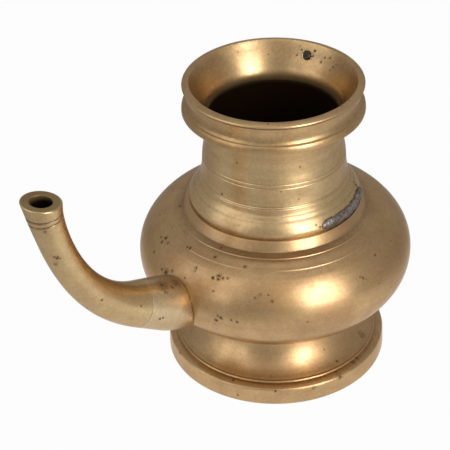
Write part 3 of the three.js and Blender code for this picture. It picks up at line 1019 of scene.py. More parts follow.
@dataclass(frozen=True)
class AgedBrass:
    """Old cast brass, turned, handled and tarnished, with painted shade in its corners and inside and
    painted highlights on its edges.

    Args:
        name: The material's name.
        bright: Its clean tone.
        brown: Its tarnished tone.
        dark: The dirt in its pits and lines, and the dirt and painted shade in its corners and bands.
        worn: The tone of rubbed edges, also their painted highlight.
        deep: The pot's inside, painted nearly black as shade.
        stain: The tone round old pits.
        tarnish: How much of it is brown, from 0 to 1.
        roughness: Its least roughness.
        edge: The tint of its reflections along its outline.
        coat: How much of a thin film of old wax lies on it, from 0 to 1.
        coat_roughness: The film's roughness.
        gloss: How strongly it mirrors where it is hardly metal.
        pit_metal: How metallic its pits and the pot's inside are, from 0 to 1.
        dull_rise: How much rougher its dull parts are.
        line_rise: How much rougher the lathe's fine lines are.
        rings: How much the lathe's broad rings show, from 0 to 1.
        lines: Depth of the lathe's lines, in metres.
        grain: Depth of its fine grain, in metres.
        pit_scale: How closely chance pits lie; higher is closer.
        pit_depth: Depth of the pits, in metres.
    """

    name: str
    bright: Rgb = (0.615, 0.402, 0.188, 1.0)
    brown: Rgb = (0.435, 0.245, 0.104, 1.0)
    dark: Rgb = (0.085, 0.05, 0.022, 1.0)
    worn: Rgb = (0.76, 0.59, 0.36, 1.0)
    deep: Rgb = (0.012, 0.005, 0.0015, 1.0)
    stain: Rgb = (0.17, 0.095, 0.036, 1.0)
    tarnish: float = 0.8
    roughness: float = 0.3
    edge: Rgb = (0.72, 0.57, 0.42, 1.0)
    coat: float = 0.6
    coat_roughness: float = 0.26
    gloss: float = 0.15
    pit_metal: float = 0.35
    dull_rise: float = 0.3
    line_rise: float = 0.06
    rings: float = 0.2
    lines: float = 0.012 * MM
    grain: float = 0.007 * MM
    pit_scale: float = 150.0
    pit_depth: float = 0.1 * MM

    def material(self, effects: Effects, spots: Sequence[tuple[Vector, Mark]]) -> bpy.types.Material:
        """Builds the material.

        Args:
            effects: The shared shader groups.
            spots: Dark marks at fixed places on the piece.

        Returns:
            The material.
        """
        made, wire, shader = new_material(self.name)
        vector = wire.node("ShaderNodeTexCoord").outputs["Object"]
        patina = wire.node("ShaderNodeGroup", node_tree=effects.patina)
        wire.feed(patina.inputs["Vector"], vector)
        for label, tone in (("Bright", self.bright), ("Brown", self.brown), ("Dark", self.dark),
                            ("Worn", self.worn), ("Tarnish", self.tarnish)):
            wire.feed(patina.inputs[label], tone)
        lines = wire.node("ShaderNodeGroup", node_tree=effects.lines)
        wire.feed(lines.inputs["Vector"], vector)
        pits = wire.node("ShaderNodeGroup", node_tree=effects.pits)
        wire.feed(pits.inputs["Vector"], vector)
        wire.feed(pits.inputs["Scale"], self.pit_scale)
        holes, stains = self.marked(wire, vector, spots, pits.outputs["Pits"])
        ring_tone = wire.ramp(lines.outputs["Broad"], 0.3, 0.7, 0.0, self.rings)
        tone = wire.blend(ring_tone, patina.outputs["Color"], self.brown)
        tone = wire.blend(wire.times(lines.outputs["Fine"], self.rings / 2), tone, self.dark)
        tone = wire.blend(stains, tone, self.stain)
        tone = wire.blend(holes, tone, self.dark)
        # The pot's inside is painted nearly black: painted shade.
        tone = wire.blend(patina.outputs["Inside"], tone, self.deep)
        wire.feed(shader.inputs["Base Color"], tone)
        dull = wire.larger(patina.outputs["Dull"], wire.larger(holes, stains))
        rough = wire.plus(wire.times(dull, self.dull_rise), self.roughness)
        rough = wire.math("ADD", rough, wire.times(lines.outputs["Fine"], self.line_rise), clamp=True)
        wire.feed(shader.inputs["Roughness"], rough)
        matt = wire.larger(holes, patina.outputs["Inside"])
        wire.feed(shader.inputs["Metallic"], wire.ramp(matt, 0.0, 1.0, 1.0, self.pit_metal))
        wire.feed(shader.inputs["Coat Weight"], wire.ramp(matt, 0.0, 0.6, self.coat, 0.0))
        shader.inputs["Coat Roughness"].default_value = self.coat_roughness
        shader.inputs["Specular Tint"].default_value = self.edge
        shader.inputs["Specular IOR Level"].default_value = self.gloss
        wire.feed(shader.inputs["Normal"], self.relief(wire, vector, lines, holes))
        return made

    def marked(self, wire: Wiring, vector: bpy.types.NodeSocket, spots: Sequence[tuple[Vector, Mark]],
               holes: bpy.types.NodeSocket) -> tuple[bpy.types.NodeSocket, object]:
        """Adds marks at fixed places to the chance pits.

        Args:
            wire: The material's wiring.
            vector: The object coordinates.
            spots: The marks and their places.
            holes: The chance pits.

        Returns:
            All pits as one mask, and the stains round the marks as another.
        """
        if not spots:
            return holes, 0.0
        nearest = None
        for place, mark in spots:
            fall = wire.node("ShaderNodeMapRange", clamp=True)
            wire.feed(fall.inputs["Value"], wire.distance(vector, place))
            fall.inputs["From Max"].default_value = MARK_SPREAD * mark.radius * MM
            fall.inputs["To Min"].default_value = mark.strength
            fall.inputs["To Max"].default_value = 0.0
            near = fall.outputs["Result"]
            nearest = wire.larger(nearest, near) if nearest else near
        ragged = wire.minus(wire.noise(vector, 760.0, 4.0, 0.7), 0.5)
        ragged = wire.times(wire.times(ragged, 3.4), nearest)
        nearest = wire.plus(nearest, ragged)
        holes = wire.larger(holes, wire.ramp(nearest, 0.58, 0.74))
        return holes, wire.ramp(nearest, 0.06, 0.62, 0.0, 0.68)

    def relief(self, wire: Wiring, vector: bpy.types.NodeSocket, lines: bpy.types.Node,
               holes: bpy.types.NodeSocket) -> bpy.types.NodeSocket:
        """Lays the lathe's lines, the grain and the pits into the surface.

        Args:
            wire: The material's wiring.
            vector: The object coordinates.
            lines: The node of the lathe's lines.
            holes: The mask of all pits.

        Returns:
            The surface's normal.
        """
        grain = wire.noise(vector, 1500.0, 3.0, 0.6)
        lumps = wire.noise(vector, 260.0, 3.0, 0.55)
        height = wire.times(grain, self.grain)
        height = wire.plus(height, wire.times(lumps, self.grain * 6))
        height = wire.minus(height, wire.times(lines.outputs["Fine"], self.lines))
        height = wire.plus(height, wire.times(lines.outputs["Broad"], self.lines * 3))
        height = wire.minus(height, wire.times(holes, self.pit_depth))
        return wire.bump(height)


@dataclass(frozen=True)
class GreySolder:
    """Dull grey solder of an old repair.

    Args:
        name: The material's name.
        tone: Its main tone.
        dark: The tone of its blotches.
        roughness: Its roughness between them.
        dull_roughness: Their roughness.
        metallic: How metallic it is, from 0 to 1.
        lump_height: Height of its small lumps, in metres.
    """

    name: str = "grey_solder"
    tone: Rgb = (0.25, 0.212, 0.205, 1.0)
    dark: Rgb = (0.10, 0.082, 0.052, 1.0)
    roughness: float = 0.44
    dull_roughness: float = 0.75
    metallic: float = 0.75
    lump_height: float = 0.12 * MM

    def material(self) -> bpy.types.Material:
        """Builds the material.

        Returns:
            The material.
        """
        made, wire, shader = new_material(self.name)
        vector = wire.node("ShaderNodeTexCoord").outputs["Object"]
        blotch = wire.ramp(wire.noise(vector, 420.0, 4.0, 0.6), 0.35, 0.7)
        wire.feed(shader.inputs["Base Color"], wire.blend(blotch, self.tone, self.dark))
        rough = wire.ramp(blotch, 0.0, 1.0, self.roughness, self.dull_roughness)
        wire.feed(shader.inputs["Roughness"], rough)
        shader.inputs["Metallic"].default_value = self.metallic
        lumps = wire.times(wire.noise(vector, 900.0, 3.0), self.lump_height)
        wire.feed(shader.inputs["Normal"], wire.bump(lumps))
        return made


# Sub-assemblies


FOOT_MARKS = (
    Mark(362, 335, 1.8, 0.7), Mark(353, 362, 1.1, 0.9), Mark(357, 358, 0.8, 0.9),
    Mark(340, 377, 1.6, 0.7), Mark(336, 372, 0.8, 0.8), Mark(233, 380, 0.7, 1.0),
    Mark(275, 391, 0.7, 0.85), Mark(314, 388, 1.2, 0.68), Mark(238, 395, 0.6, 0.8),
    Mark(271, 376, 0.5, 0.8), Mark(180, 353, 0.6, 0.8), Mark(337, 361, 0.7, 0.8),
)
BELLY_MARKS = (
    Mark(166, 238, 1.0, 0.95), Mark(162, 242, 0.9, 0.9), Mark(168, 243, 0.8, 0.85),
    Mark(161, 237, 0.7, 0.85), Mark(154, 252, 0.7, 0.9), Mark(190, 248, 0.8, 0.95),
    Mark(187, 247, 0.6, 0.9), Mark(166, 272, 1.6, 0.8), Mark(162, 269, 0.8, 0.85),
    Mark(172, 271, 0.8, 0.85), Mark(215, 257, 0.8, 0.95), Mark(245, 267, 1.0, 0.72),
    Mark(213, 278, 0.8, 0.95), Mark(218, 279, 0.8, 0.95), Mark(223, 278, 0.7, 0.85),
    Mark(219, 276, 1.6, 0.7), Mark(228, 278, 0.8, 0.75), Mark(196, 268, 0.9, 0.75),
    Mark(195, 271, 0.6, 0.75), Mark(213, 291, 0.6, 0.85), Mark(255, 298, 0.6, 0.9),
    Mark(260, 295, 0.8, 0.72), Mark(216, 320, 0.9, 0.95), Mark(221, 318, 0.8, 0.95),
    Mark(218, 316, 0.7, 0.85), Mark(237, 322, 0.7, 0.9), Mark(231, 320, 0.6, 0.8),
    Mark(375, 255, 0.6, 1.0), Mark(363, 278, 0.8, 0.85), Mark(360, 277, 0.6, 0.8),
    Mark(366, 279, 0.5, 0.8), Mark(392, 287, 0.6, 0.75), Mark(185, 278, 0.45, 0.95),
    Mark(272, 301, 0.9, 0.72), Mark(308, 322, 0.6, 0.75), Mark(180, 206, 0.7, 0.85),
    Mark(160, 215, 0.4, 0.85), Mark(391, 241, 0.4, 0.8), Mark(221, 248, 0.6, 0.8),
)
NECK_MARKS = (
    Mark(222, 194, 0.5, 1.0), Mark(237, 163, 0.6, 0.75), Mark(300, 167, 0.7, 0.75),
    Mark(281, 192, 0.4, 0.8), Mark(320, 227, 0.6, 0.95), Mark(343, 226, 0.5, 0.9),
    Mark(356, 185, 1.0, 0.9), Mark(354, 182, 0.7, 0.85), Mark(316, 225, 0.6, 0.8),
    Mark(201, 219, 0.6, 0.75), Mark(299, 199, 0.5, 0.72),
)
RIM_MARKS = (
    Mark(308, 54.5, 2.6, 0.72), Mark(302, 50, 0.6, 0.95), Mark(297, 55, 0.5, 0.9),
    Mark(315, 51, 0.7, 0.85), Mark(313, 56, 0.6, 0.8), Mark(325, 58, 0.6, 0.85), Mark(330, 58, 0.5, 0.85),
    Mark(333, 67, 0.6, 0.9), Mark(330, 70, 0.5, 0.9), Mark(336, 65, 0.4, 0.85), Mark(238, 52, 0.6, 0.75),
    Mark(300, 46, 0.5, 0.75), Mark(268, 54, 0.4, 0.75), Mark(321, 62, 0.9, 0.7), Mark(268, 124, 0.4, 0.8),
    Mark(341, 106, 0.5, 0.75),
)
SPOUT_MARKS = (
    Mark(57, 258, 0.9, 0.98), Mark(54, 257.5, 0.6, 0.9), Mark(60, 258.5, 0.5, 0.9),
    Mark(102, 300, 0.6, 0.95), Mark(160, 319, 0.6, 0.98), Mark(163, 318, 0.5, 0.95),
    Mark(163, 286, 2.6, 0.7), Mark(176, 283, 2.2, 0.66), Mark(166, 292, 1.0, 0.75),
    Mark(172, 287, 0.9, 0.8), Mark(186, 288, 1.2, 0.7), Mark(45, 232, 0.7, 0.8),
    Mark(141, 306, 0.5, 0.75), Mark(56, 264, 1.2, 0.6), Mark(87, 308, 0.6, 0.7),
)


@dataclass
class FootRing:
    """The flared foot, an open ring that the pot stands on. Sizes are in millimetres."""

    # The band at the bottom
    radius: float = 65.5
    band_taper: float = 0.3
    band_height: float = 11.2
    band_edge: float = 1.8
    base_edge: float = 0.8
    # The ledge on the band, with the thin bead at its inner edge
    bead_width: float = 1.3
    bead_height: float = 0.9
    bead_edge: float = 0.3
    bead_blend: float = 0.8
    ledge_width: float = 5.1
    ledge_rise: float = 0.7
    ledge_step: float = 0.8
    ledge_edge: float = 0.25
    # The cove up to the waist
    waist: float = FOOT_TOP_RADIUS
    cove_radius: float = 48.0
    cove_height: float = 17.5
    height: float = FOOT_TOP
    # The hollow underneath
    wall: float = FOOT_WALL
    base_width: float = 4.5
    hollow_edge: float = 0.8

    def outline(self) -> list[Vector]:
        """Draws the foot's section.

        Returns:
            The closed outline, in millimetres.
        """
        ledge = self.radius - self.band_taper - self.ledge_width
        ledge_top = self.band_height + self.ledge_rise
        cove = bezier([
            Corner(ledge - self.ledge_step, ledge_top + self.ledge_step),
            Corner(self.cove_radius, self.cove_height),
            Corner(self.waist, self.height),
        ], steps=32)
        hollow = bezier([
            Corner(self.waist - self.wall, self.height),
            Corner(self.cove_radius - self.wall, self.cove_height - self.wall),
            Corner(self.radius - self.base_width, 0.0),
        ], steps=20)
        hollow[-1].fillet = self.hollow_edge
        corners = [
            Corner(self.radius, 0.0, self.base_edge),
            Corner(self.radius - self.band_taper, self.band_height - self.band_edge / 2, self.band_edge),
            Corner(self.radius - self.band_edge, self.band_height, self.band_edge),
            Corner(self.radius - 2 * self.band_edge, ledge_top, self.band_edge),
            Corner(ledge, ledge_top, self.ledge_edge),
            Corner(ledge - 0.1, ledge_top + 0.65 * self.bead_height, self.bead_edge),
            Corner(ledge - self.bead_width / 2, ledge_top + self.bead_height, self.bead_edge),
            Corner(ledge - self.bead_width, ledge_top + self.bead_height, self.bead_blend),
            *cove[2:],
            *hollow,
        ]
        return refined(rounded(corners), longest=1.2)

    def build(self, effects: Effects) -> bpy.types.Object:
        """Makes and dresses the foot.

        Args:
            effects: The shared shader groups.

        Returns:
            The piece.
        """
        ledge = self.band_height + self.ledge_rise
        soil_and_shade = (
            # Dirt and painted shade at its top, under the belly
            SoilAndShadeBand(self.height, reach=1.8, strength=1.0),
            # Dirt and painted shade on the cove's lower part, above the bead
            SoilAndShadeBand(ledge + 2 * self.bead_height, reach=2.6, strength=0.2),
        )
        bm = Turning(self.outline(), soil_and_shade=soil_and_shade, crease=0.2).mesh()
        waver(bm, size=38.0, depth=0.12, seed=3.0)
        piece = finished_object("foot", bm, pot_axis())
        finish = AgedBrass("foot_brass", tarnish=0.7)
        return settle(piece, finish.material(effects, spots_on(piece, FOOT_MARKS)), "foot_ring")


@dataclass
class Belly:
    """The round belly with its shoulder and step ring. Sizes are in millimetres."""

    # Its seat on the foot
    seat: float = FOOT_TOP
    seat_radius: float = FOOT_TOP_RADIUS
    foot_wall: float = FOOT_WALL
    # Its round, with the height and fullness of the halves above and below the girth
    radius: float = BELLY_RADIUS
    girth: float = 70.1
    upper: float = 41.2
    lower: float = 42.06
    upper_power: float = 2.1
    lower_power: float = 2.13
    wall: float = 2.6
    # The shoulder, which begins at a rise above the girth, and its two turned lines
    blend_rise: float = 22.3
    crown_radius: float = 61.3
    crown_drop: float = 2.4
    line_shares: tuple[float, ...] = (0.728, 0.285)
    line_rise: float = 0.38
    line_reach: float = 0.199
    line_width: float = 0.2
    # The step ring and the mouth inside it
    step_radius: float = 53.5
    step_height: float = 5.6
    step_base: float = NECK_SEAT - step_height
    step_taper: float = 2.7
    step_edge: float = 0.4
    step_rim: float = 0.45
    mouth: float = 39.0

    def point(self, angle: float, inset: float) -> Corner:
        """Finds a point of the belly's curve.

        Args:
            angle: Its angle above the girth, in radians.
            inset: How far inside the skin it lies.

        Returns:
            The point.
        """
        up = angle >= 0
        power = self.upper_power if up else self.lower_power
        height = (self.upper if up else self.lower) - inset
        rise = height * abs(math.sin(angle)) ** (2 / power)
        radius = (self.radius - inset) * max(0.0, math.cos(angle)) ** (2 / power)
        return Corner(radius, self.girth + (rise if up else -rise))

    def arc(self, start: float, end: float, inset: float, steps: int) -> list[Corner]:
        """Returns the belly's curve between two angles."""
        return [self.point(start + (end - start) * i / steps, inset) for i in range(steps + 1)]

    def blend(self, inset: float) -> float:
        """Returns the angle at which the shoulder begins."""
        return math.asin((self.blend_rise / (self.upper - inset)) ** (self.upper_power / 2))

    def low_angle(self, radius: float) -> float:
        """Returns the angle at which the lower belly has a radius."""
        return -math.acos((radius / self.radius) ** (self.lower_power / 2))

    def shoulder(self, inset: float, steps: int) -> list[Corner]:
        """Draws the shoulder's curve, from the belly up to the step ring.

        Args:
            inset: How far inside the skin it lies.
            steps: How many stretches it has.

        Returns:
            The curve.
        """
        return bezier([
            self.point(self.blend(inset), inset),
            Corner(self.crown_radius - inset / 2, self.step_base - self.crown_drop - inset),
            Corner(self.step_radius - inset / 2, self.step_base - inset),
        ], steps)

    def lined(self, plain: list[Corner]) -> list[Corner]:
        """Lays the two turned lines into the shoulder, each a small riser that faces outwards.

        Args:
            plain: The shoulder's curve without lines.

        Returns:
            The curve with them.
        """
        foot = plain[-1].radius
        width = plain[0].radius - foot
        lines = [foot + width * share for share in self.line_shares]
        reach = width * self.line_reach
        half = self.line_width / 2
        rims = [line + side * half for line in lines for side in (1, -1)]
        kept = [c.radius for c in plain if min(abs(c.radius - rim) for rim in rims) > 2 * half]
        found = []
        for radius in sorted(kept + rims, reverse=True):
            before, after = next((a, b) for a, b in zip(plain, plain[1:]) if b.radius <= radius <= a.radius)
            share = (before.radius - radius) / (before.radius - after.radius)
            height = before.height + (after.height - before.height) * share
            for line in lines:
                fade = max(0.0, 1 - abs(line - radius) / reach) ** 2
                height += math.copysign(fade * self.line_rise / 2, line - radius)
            found.append(Corner(radius, height, half if radius in rims else 0.0))
        return found

    def skin(self) -> list[Corner]:
        """Draws the belly's outside, from the foot up to the step ring.

        Returns:
            The curve.
        """
        return [
            *self.arc(self.low_angle(self.seat_radius), 0.0, 0.0, steps=60),
            *self.arc(0.0, self.blend(0.0), 0.0, steps=36)[1:],
            *self.lined(self.shoulder(0.0, steps=60))[1:-1],
        ]

    def outline(self) -> list[Vector]:
        """Draws the belly's section.

        Returns:
            The closed outline, in millimetres.
        """
        low = -math.pi / 2
        step_top = self.step_base + self.step_height
        bottom_end = self.low_angle(self.seat_radius - self.foot_wall)
        corners = [
            Corner(self.seat_radius, self.seat),
            *self.skin(),
            Corner(self.step_radius, self.step_base, self.step_edge),
            Corner(self.step_radius - self.step_taper, step_top, self.step_rim),
            Corner(self.mouth, step_top, self.step_edge),
            Corner(self.mouth, self.step_base - self.wall, self.step_edge),
            *reversed(self.shoulder(self.wall, steps=12)),
            *reversed(self.arc(low, self.blend(self.wall), self.wall, steps=44)[:-1]),
            *self.arc(low, bottom_end, 0.0, steps=10),
            Corner(self.seat_radius - self.foot_wall, self.seat),
        ]
        return refined(rounded(corners, steps=4), longest=1.6)

    def inside_test(self) -> Callable[[Vector], float]:
        """Makes the test for points inside the pot, which are painted as shade.

        Returns:
            The test, which takes a point of the outline.
        """
        skin = [corner.place() for corner in self.skin()]

        def deep(place: Vector) -> float:
            """Tests one point.

            Args:
                place: The point, as (radius, height).

            Returns:
                1 inside the pot and 0 outside it.
            """
            if place.x < self.mouth + self.wall and place.y > self.step_base - self.wall - 1:
                return 1.0
            near = min((place - point).length for point in skin)
            return 0.0 if near < self.wall / 2 or place.y > self.step_base - self.wall / 2 else 1.0

        return deep

    def build(self) -> bpy.types.Object:
        """Makes the belly's shape, whole and without its brass.

        Returns:
            The piece.
        """
        soil_and_shade = (
            # Dirt and painted shade where the shoulder meets the step ring
            SoilAndShadeBand(self.step_base, reach=2.6, strength=0.5),
            # Dirt and painted shade under the belly where it sits on the foot
            SoilAndShadeBand(self.seat, reach=2.0, strength=0.7),
        )
        outline = [Vector((max(0.0, p.x), p.y)) for p in self.outline()]
        bm = Turning(outline, BELLY_AROUND, reach=0.4, soil_and_shade=soil_and_shade, inside=self.inside_test()).mesh()
        waver(bm, size=45.0, depth=0.12, seed=7.0)
        return finished_object("belly", bm, pot_axis())

    def dress(self, piece: bpy.types.Object, effects: Effects) -> bpy.types.Object:
        """Gives the bored belly its brass.

        Args:
            piece: The belly's shape.
            effects: The shared shader groups.

        Returns:
            The piece.
        """
        finish = AgedBrass("belly_brass")
        return settle(piece, finish.material(effects, spots_on(piece, BELLY_MARKS)), "body")


@dataclass(frozen=True)
class BoreShade:
    """The painted shade of the pot's inside, darker further below the funnel. Sizes are in millimetres."""

    radius: float = NECK_BORE
    top: float = RIM_SEAT + 3.7
    fade: float = 9.0
    skin: float = 1.4

    def deep(self, place: Vector) -> float:
        """Measures how deep the painted shade is at a point of an outline.

        Args:
            place: The point, as (radius, height).

        Returns:
            The shade's depth, from 0 to 1.
        """
        if place.x > self.radius + self.skin:
            return 0.0
        return min(1.0, max(0.0, (self.top - place.y) / self.fade))


@dataclass
class Neck:
    """The neck with the worn roll at its foot and its turned lines. Sizes are in millimetres."""

    seat: float = NECK_SEAT
    # Its outside as (radius, rise): the roll and beads at its foot, then the shaft
    foot_height: float = 14.1
    shaft_height: float = 42.6
    foot_line: Profile = (
        (49.4, 0.0), (49.4, 2.7), (48.2, 5.6), (46.9, 7.6), (46.0, 8.7), (45.2, 9.6), (44.3, 11.0),
        (43.3, 12.2), (42.7, 14.1),
    )
    shaft_line: Profile = (
        (42.7, 0.0), (42.0, 4.5), (41.5, 7.8), (41.15, 13.0), (40.75, 17.5), (40.1, 21.2), (39.6, 25.5),
        (39.3, 31.0), (39.2, 42.6),
    )
    # The hollows that are painted darker, and the turned lines on the shaft
    hollow_rises: tuple[float, ...] = (8.7, 12.2)
    groove_depth: float = 0.4
    groove_width: float = 0.9
    groove_rises: tuple[float, ...] = (1.4, 2.55, 14.0, 16.4)
    # The bore, the spigot below it and the recess that takes the rim's spigot
    bore: float = NECK_BORE
    spigot_depth: float = SPIGOT_DEPTH
    spigot_wall: float = 1.6
    spigot_edge: float = 0.4
    spigot_rim: float = 0.2
    gap: float = BRAZING_GAP
    joint: float = 0.06
    joint_edge: float = 0.05

    def skin(self) -> list[Corner]:
        """Draws the neck's outside, from its roll up to the rim.

        Returns:
            The curve.
        """
        foot = self.seat + self.foot_height
        shaft = smooth(self.shaft_line, foot)
        middles = [foot + rise for rise in self.groove_rises]
        lined = grooved(shaft, middles, self.groove_depth, self.groove_width)
        return smooth(self.foot_line, self.seat)[:-1] + lined

    def outline(self) -> list[Vector]:
        """Draws the neck's section.

        Returns:
            The closed outline, in millimetres.
        """
        top = self.seat + self.foot_height + self.shaft_height
        recess = self.bore + self.spigot_wall / 2 + self.gap
        corners = [
            Corner(self.bore + self.spigot_wall, self.seat),
            *self.skin(),
            Corner(recess, top, self.spigot_rim),
            Corner(recess, top - self.spigot_depth - self.joint, SHARP_EDGE),
            Corner(self.bore, top - self.spigot_depth - self.joint, self.joint_edge),
            Corner(self.bore, self.seat - self.spigot_depth, self.spigot_edge),
            Corner(self.bore + self.spigot_wall, self.seat - self.spigot_depth, self.spigot_rim),
        ]
        return refined(rounded(corners, steps=4), longest=1.3)

    def build(self, effects: Effects) -> bpy.types.Object:
        """Makes and dresses the neck.

        Args:
            effects: The shared shader groups.

        Returns:
            The piece.
        """
        top = self.seat + self.foot_height + self.shaft_height
        soil_and_shade = (
            # Dirt and painted shade at its foot on the step ring
            SoilAndShadeBand(self.seat, reach=2.6, strength=0.5),
            # Darker in the two hollows of the roll
            SoilAndShadeBand(self.seat + self.hollow_rises[0], reach=1.3, strength=0.4),
            SoilAndShadeBand(self.seat + self.hollow_rises[1], reach=1.1, strength=0.3),
            # Painted shadow under the rim's flange
            SoilAndShadeBand(top, reach=2.2, strength=0.5),
        )
        bm = Turning(self.outline(), reach=0.4, soil_and_shade=soil_and_shade, inside=BoreShade().deep).mesh()
        waver(bm, size=30.0, depth=0.1, seed=11.0)
        piece = finished_object("neck_tube", bm, pot_axis())
        finish = AgedBrass("neck_brass", bright=(0.68, 0.49, 0.245, 1.0), tarnish=0.6)
        return settle(piece, finish.material(effects, spots_on(piece, NECK_MARKS)), "neck")


@dataclass
class MouthRim:
    """The moulded rim with its flange, cove, lip and funnel. Sizes are in millimetres."""

    seat: float = RIM_SEAT
    # Its outside as (radius, rise)
    flange: Profile = (
        (51.0, 0.0), (51.7, 0.5), (51.75, 1.6), (51.5, 3.2), (50.9, 4.3), (49.9, 4.9),
    )
    cove: Profile = ((49.1, 6.5), (49.0, 8.9), (49.5, 11.7), (50.2, 15.2))
    lip: Profile = (
        (50.9, 15.8), (51.15, 16.4), (50.7, 17.1), (49.5, 17.7), (48.3, 18.05), (47.3, 18.0), (46.6, 17.2),
    )
    flange_edges: tuple[float, float] = (0.4, 0.3)
    cove_edge: float = 0.35
    # The funnel, with its bend as (radius, rise), and the bore
    bend: tuple[float, float] = (42.6, 11.2)
    rounding: float = 1.5
    bore: float = NECK_BORE
    bore_edge: float = 4.0
    # The spigot that goes down into the neck
    spigot_depth: float = SPIGOT_DEPTH
    spigot_wall: float = 0.8

    def funnel(self, steps: int) -> list[Corner]:
        """Draws the funnel's line, from the lip down to the bore.

        Args:
            steps: How many stretches it has.

        Returns:
            The line.
        """
        start = self.lip[-1]
        return bezier([
            Corner(start[0], self.seat + start[1]),
            Corner(self.bend[0], self.seat + self.bend[1]),
            Corner(self.bore + self.rounding / 2, self.seat + self.rounding),
        ], steps)

    def outline(self) -> list[Vector]:
        """Draws the rim's section.

        Returns:
            The closed outline, in millimetres.
        """
        flange = smooth(self.flange, self.seat)
        cove = smooth((self.flange[-1], *self.cove), self.seat)[1:]
        lip = smooth((self.cove[-1], *self.lip), self.seat, steps=6)[1:]
        flange[0].fillet, flange[-1].fillet = self.flange_edges
        cove[-1].fillet = self.cove_edge
        outer = self.bore + self.spigot_wall
        corners = [
            *flange,
            *cove,
            *lip,
            *self.funnel(steps=24)[1:],
            Corner(self.bore, self.seat + self.rounding / 2, self.bore_edge),
            Corner(self.bore, self.seat - self.spigot_depth),
            Corner(outer, self.seat - self.spigot_depth, SHARP_EDGE),
            Corner(outer, self.seat, SHARP_EDGE),
        ]
        return refined(rounded(corners), longest=1.2)

    def build(self, effects: Effects, plug: "RimPlug") -> bpy.types.Object:
        """Makes and dresses the rim, bored for its plug.

        Args:
            effects: The shared shader groups.
            plug: The plug's sizes.

        Returns:
            The piece.
        """
        outside = self.cove[1][0] - 0.5
        soil_and_shade = (
            # Painted shadow under the lip
            SoilAndShadeBand(self.seat + self.cove[-1][1], reach=1.1, strength=0.9, beyond=outside),
            SoilAndShadeBand(self.seat + self.cove[0][1], reach=10.0, strength=0.38, beyond=outside),
            # Darker along the flange's foot where it meets the neck
            SoilAndShadeBand(self.seat, reach=1.2, strength=0.5, beyond=outside),
            # Darker over the funnel's inside
            SoilAndShadeBand(self.seat + self.bend[1] + 2, reach=12.0, strength=0.42, within=self.lip[-1][0]),
        )
        bm = Turning(self.outline(), soil_and_shade=soil_and_shade, inside=BoreShade(skin=4.5).deep).mesh()
        waver(bm, size=26.0, depth=0.1, seed=17.0)
        piece = finished_object("rim", bm, pot_axis())
        cut_out(piece, plug.drill(self))
        finish = AgedBrass("rim_brass", bright=(0.62, 0.42, 0.19, 1.0), tarnish=0.75)
        return settle(piece, finish.material(effects, spots_on(piece, RIM_MARKS)), "mouth_rim")


@dataclass
class RimPlug:
    """The small plug of solder in the funnel's wall. Sizes are in millimetres and degrees."""

    # Its body
    radius: float = 2.3
    proud: float = 0.5
    depth: float = 1.2
    foot_edge: float = 0.2
    top_edge: float = 0.6
    # Its place, as a turn round the pot and a share of the way down the funnel
    angle: float = 19.5
    share: float = 0.36
    # The gap round it and the lumps on it
    gap: float = BRAZING_GAP
    lump_size: float = 0.9
    lump_depth: float = 0.25

    def seat(self, rim: MouthRim) -> Matrix:
        """Finds the plug's place in the funnel.

        Args:
            rim: The rim's sizes.

        Returns:
            The place, with its Z axis out of the funnel's wall.
        """
        line = [corner.place() for corner in rim.funnel(steps=96)]
        left = self.share * sum((b - a).length for a, b in zip(line, line[1:]))
        here, after = line[0], line[1]
        for here, after in zip(line, line[1:]):
            if (after - here).length > left:
                break
            left -= (after - here).length
        slope = (after - here).normalized()
        place = here + slope * left
        turn = Vector((0, 0, 1)).rotation_difference(Vector((slope.y, 0, -slope.x))).to_matrix().to_4x4()
        around = Matrix.Rotation(math.radians(self.angle), 4, "Z")
        return around @ Matrix.Translation((place.x, 0.0, place.y)) @ turn

    def drill(self, rim: MouthRim) -> bpy.types.Object:
        """Makes the tool that bores the rim.

        Args:
            rim: The rim's sizes.

        Returns:
            The tool.
        """
        bm = bmesh.new()
        deep = self.depth + self.gap
        wide = self.radius + self.gap
        bmesh.ops.create_cone(bm, cap_ends=True, segments=PLUG_AROUND, radius1=wide, radius2=wide,
                              depth=deep + self.radius)
        bmesh.ops.translate(bm, vec=(0, 0, (self.radius - deep) / 2), verts=bm.verts)
        bmesh.ops.transform(bm, matrix=self.seat(rim), verts=bm.verts)
        return finished_object("plug_drill", bm, pot_axis())

    def build(self, rim: MouthRim) -> bpy.types.Object:
        """Makes and dresses the plug.

        Args:
            rim: The rim's sizes.

        Returns:
            The piece.
        """
        corners = [
            Corner(0.0, -self.depth),
            Corner(self.radius, -self.depth, self.foot_edge),
            Corner(self.radius, self.proud, self.top_edge),
            Corner(0.0, self.proud),
        ]
        bm = Turning(refined(rounded(corners), longest=0.35), around=PLUG_AROUND).mesh()
        for vert in bm.verts:
            lump = noise.noise(vert.co / self.lump_size + Vector((4, 4, 4)))
            vert.co.z -= self.lump_depth * max(0.0, lump + 0.2) * (vert.co.z > 0)
        bmesh.ops.transform(bm, matrix=self.seat(rim), verts=bm.verts)
        piece = finished_object("funnel_plug", bm, pot_axis())
        finish = GreySolder("plug_solder", tone=(0.11, 0.098, 0.075, 1.0), dark=(0.035, 0.03, 0.022, 1.0))
        return settle(piece, finish.material(), "rim_plug")


CentreLine = list[tuple[Vector, Vector, float]]


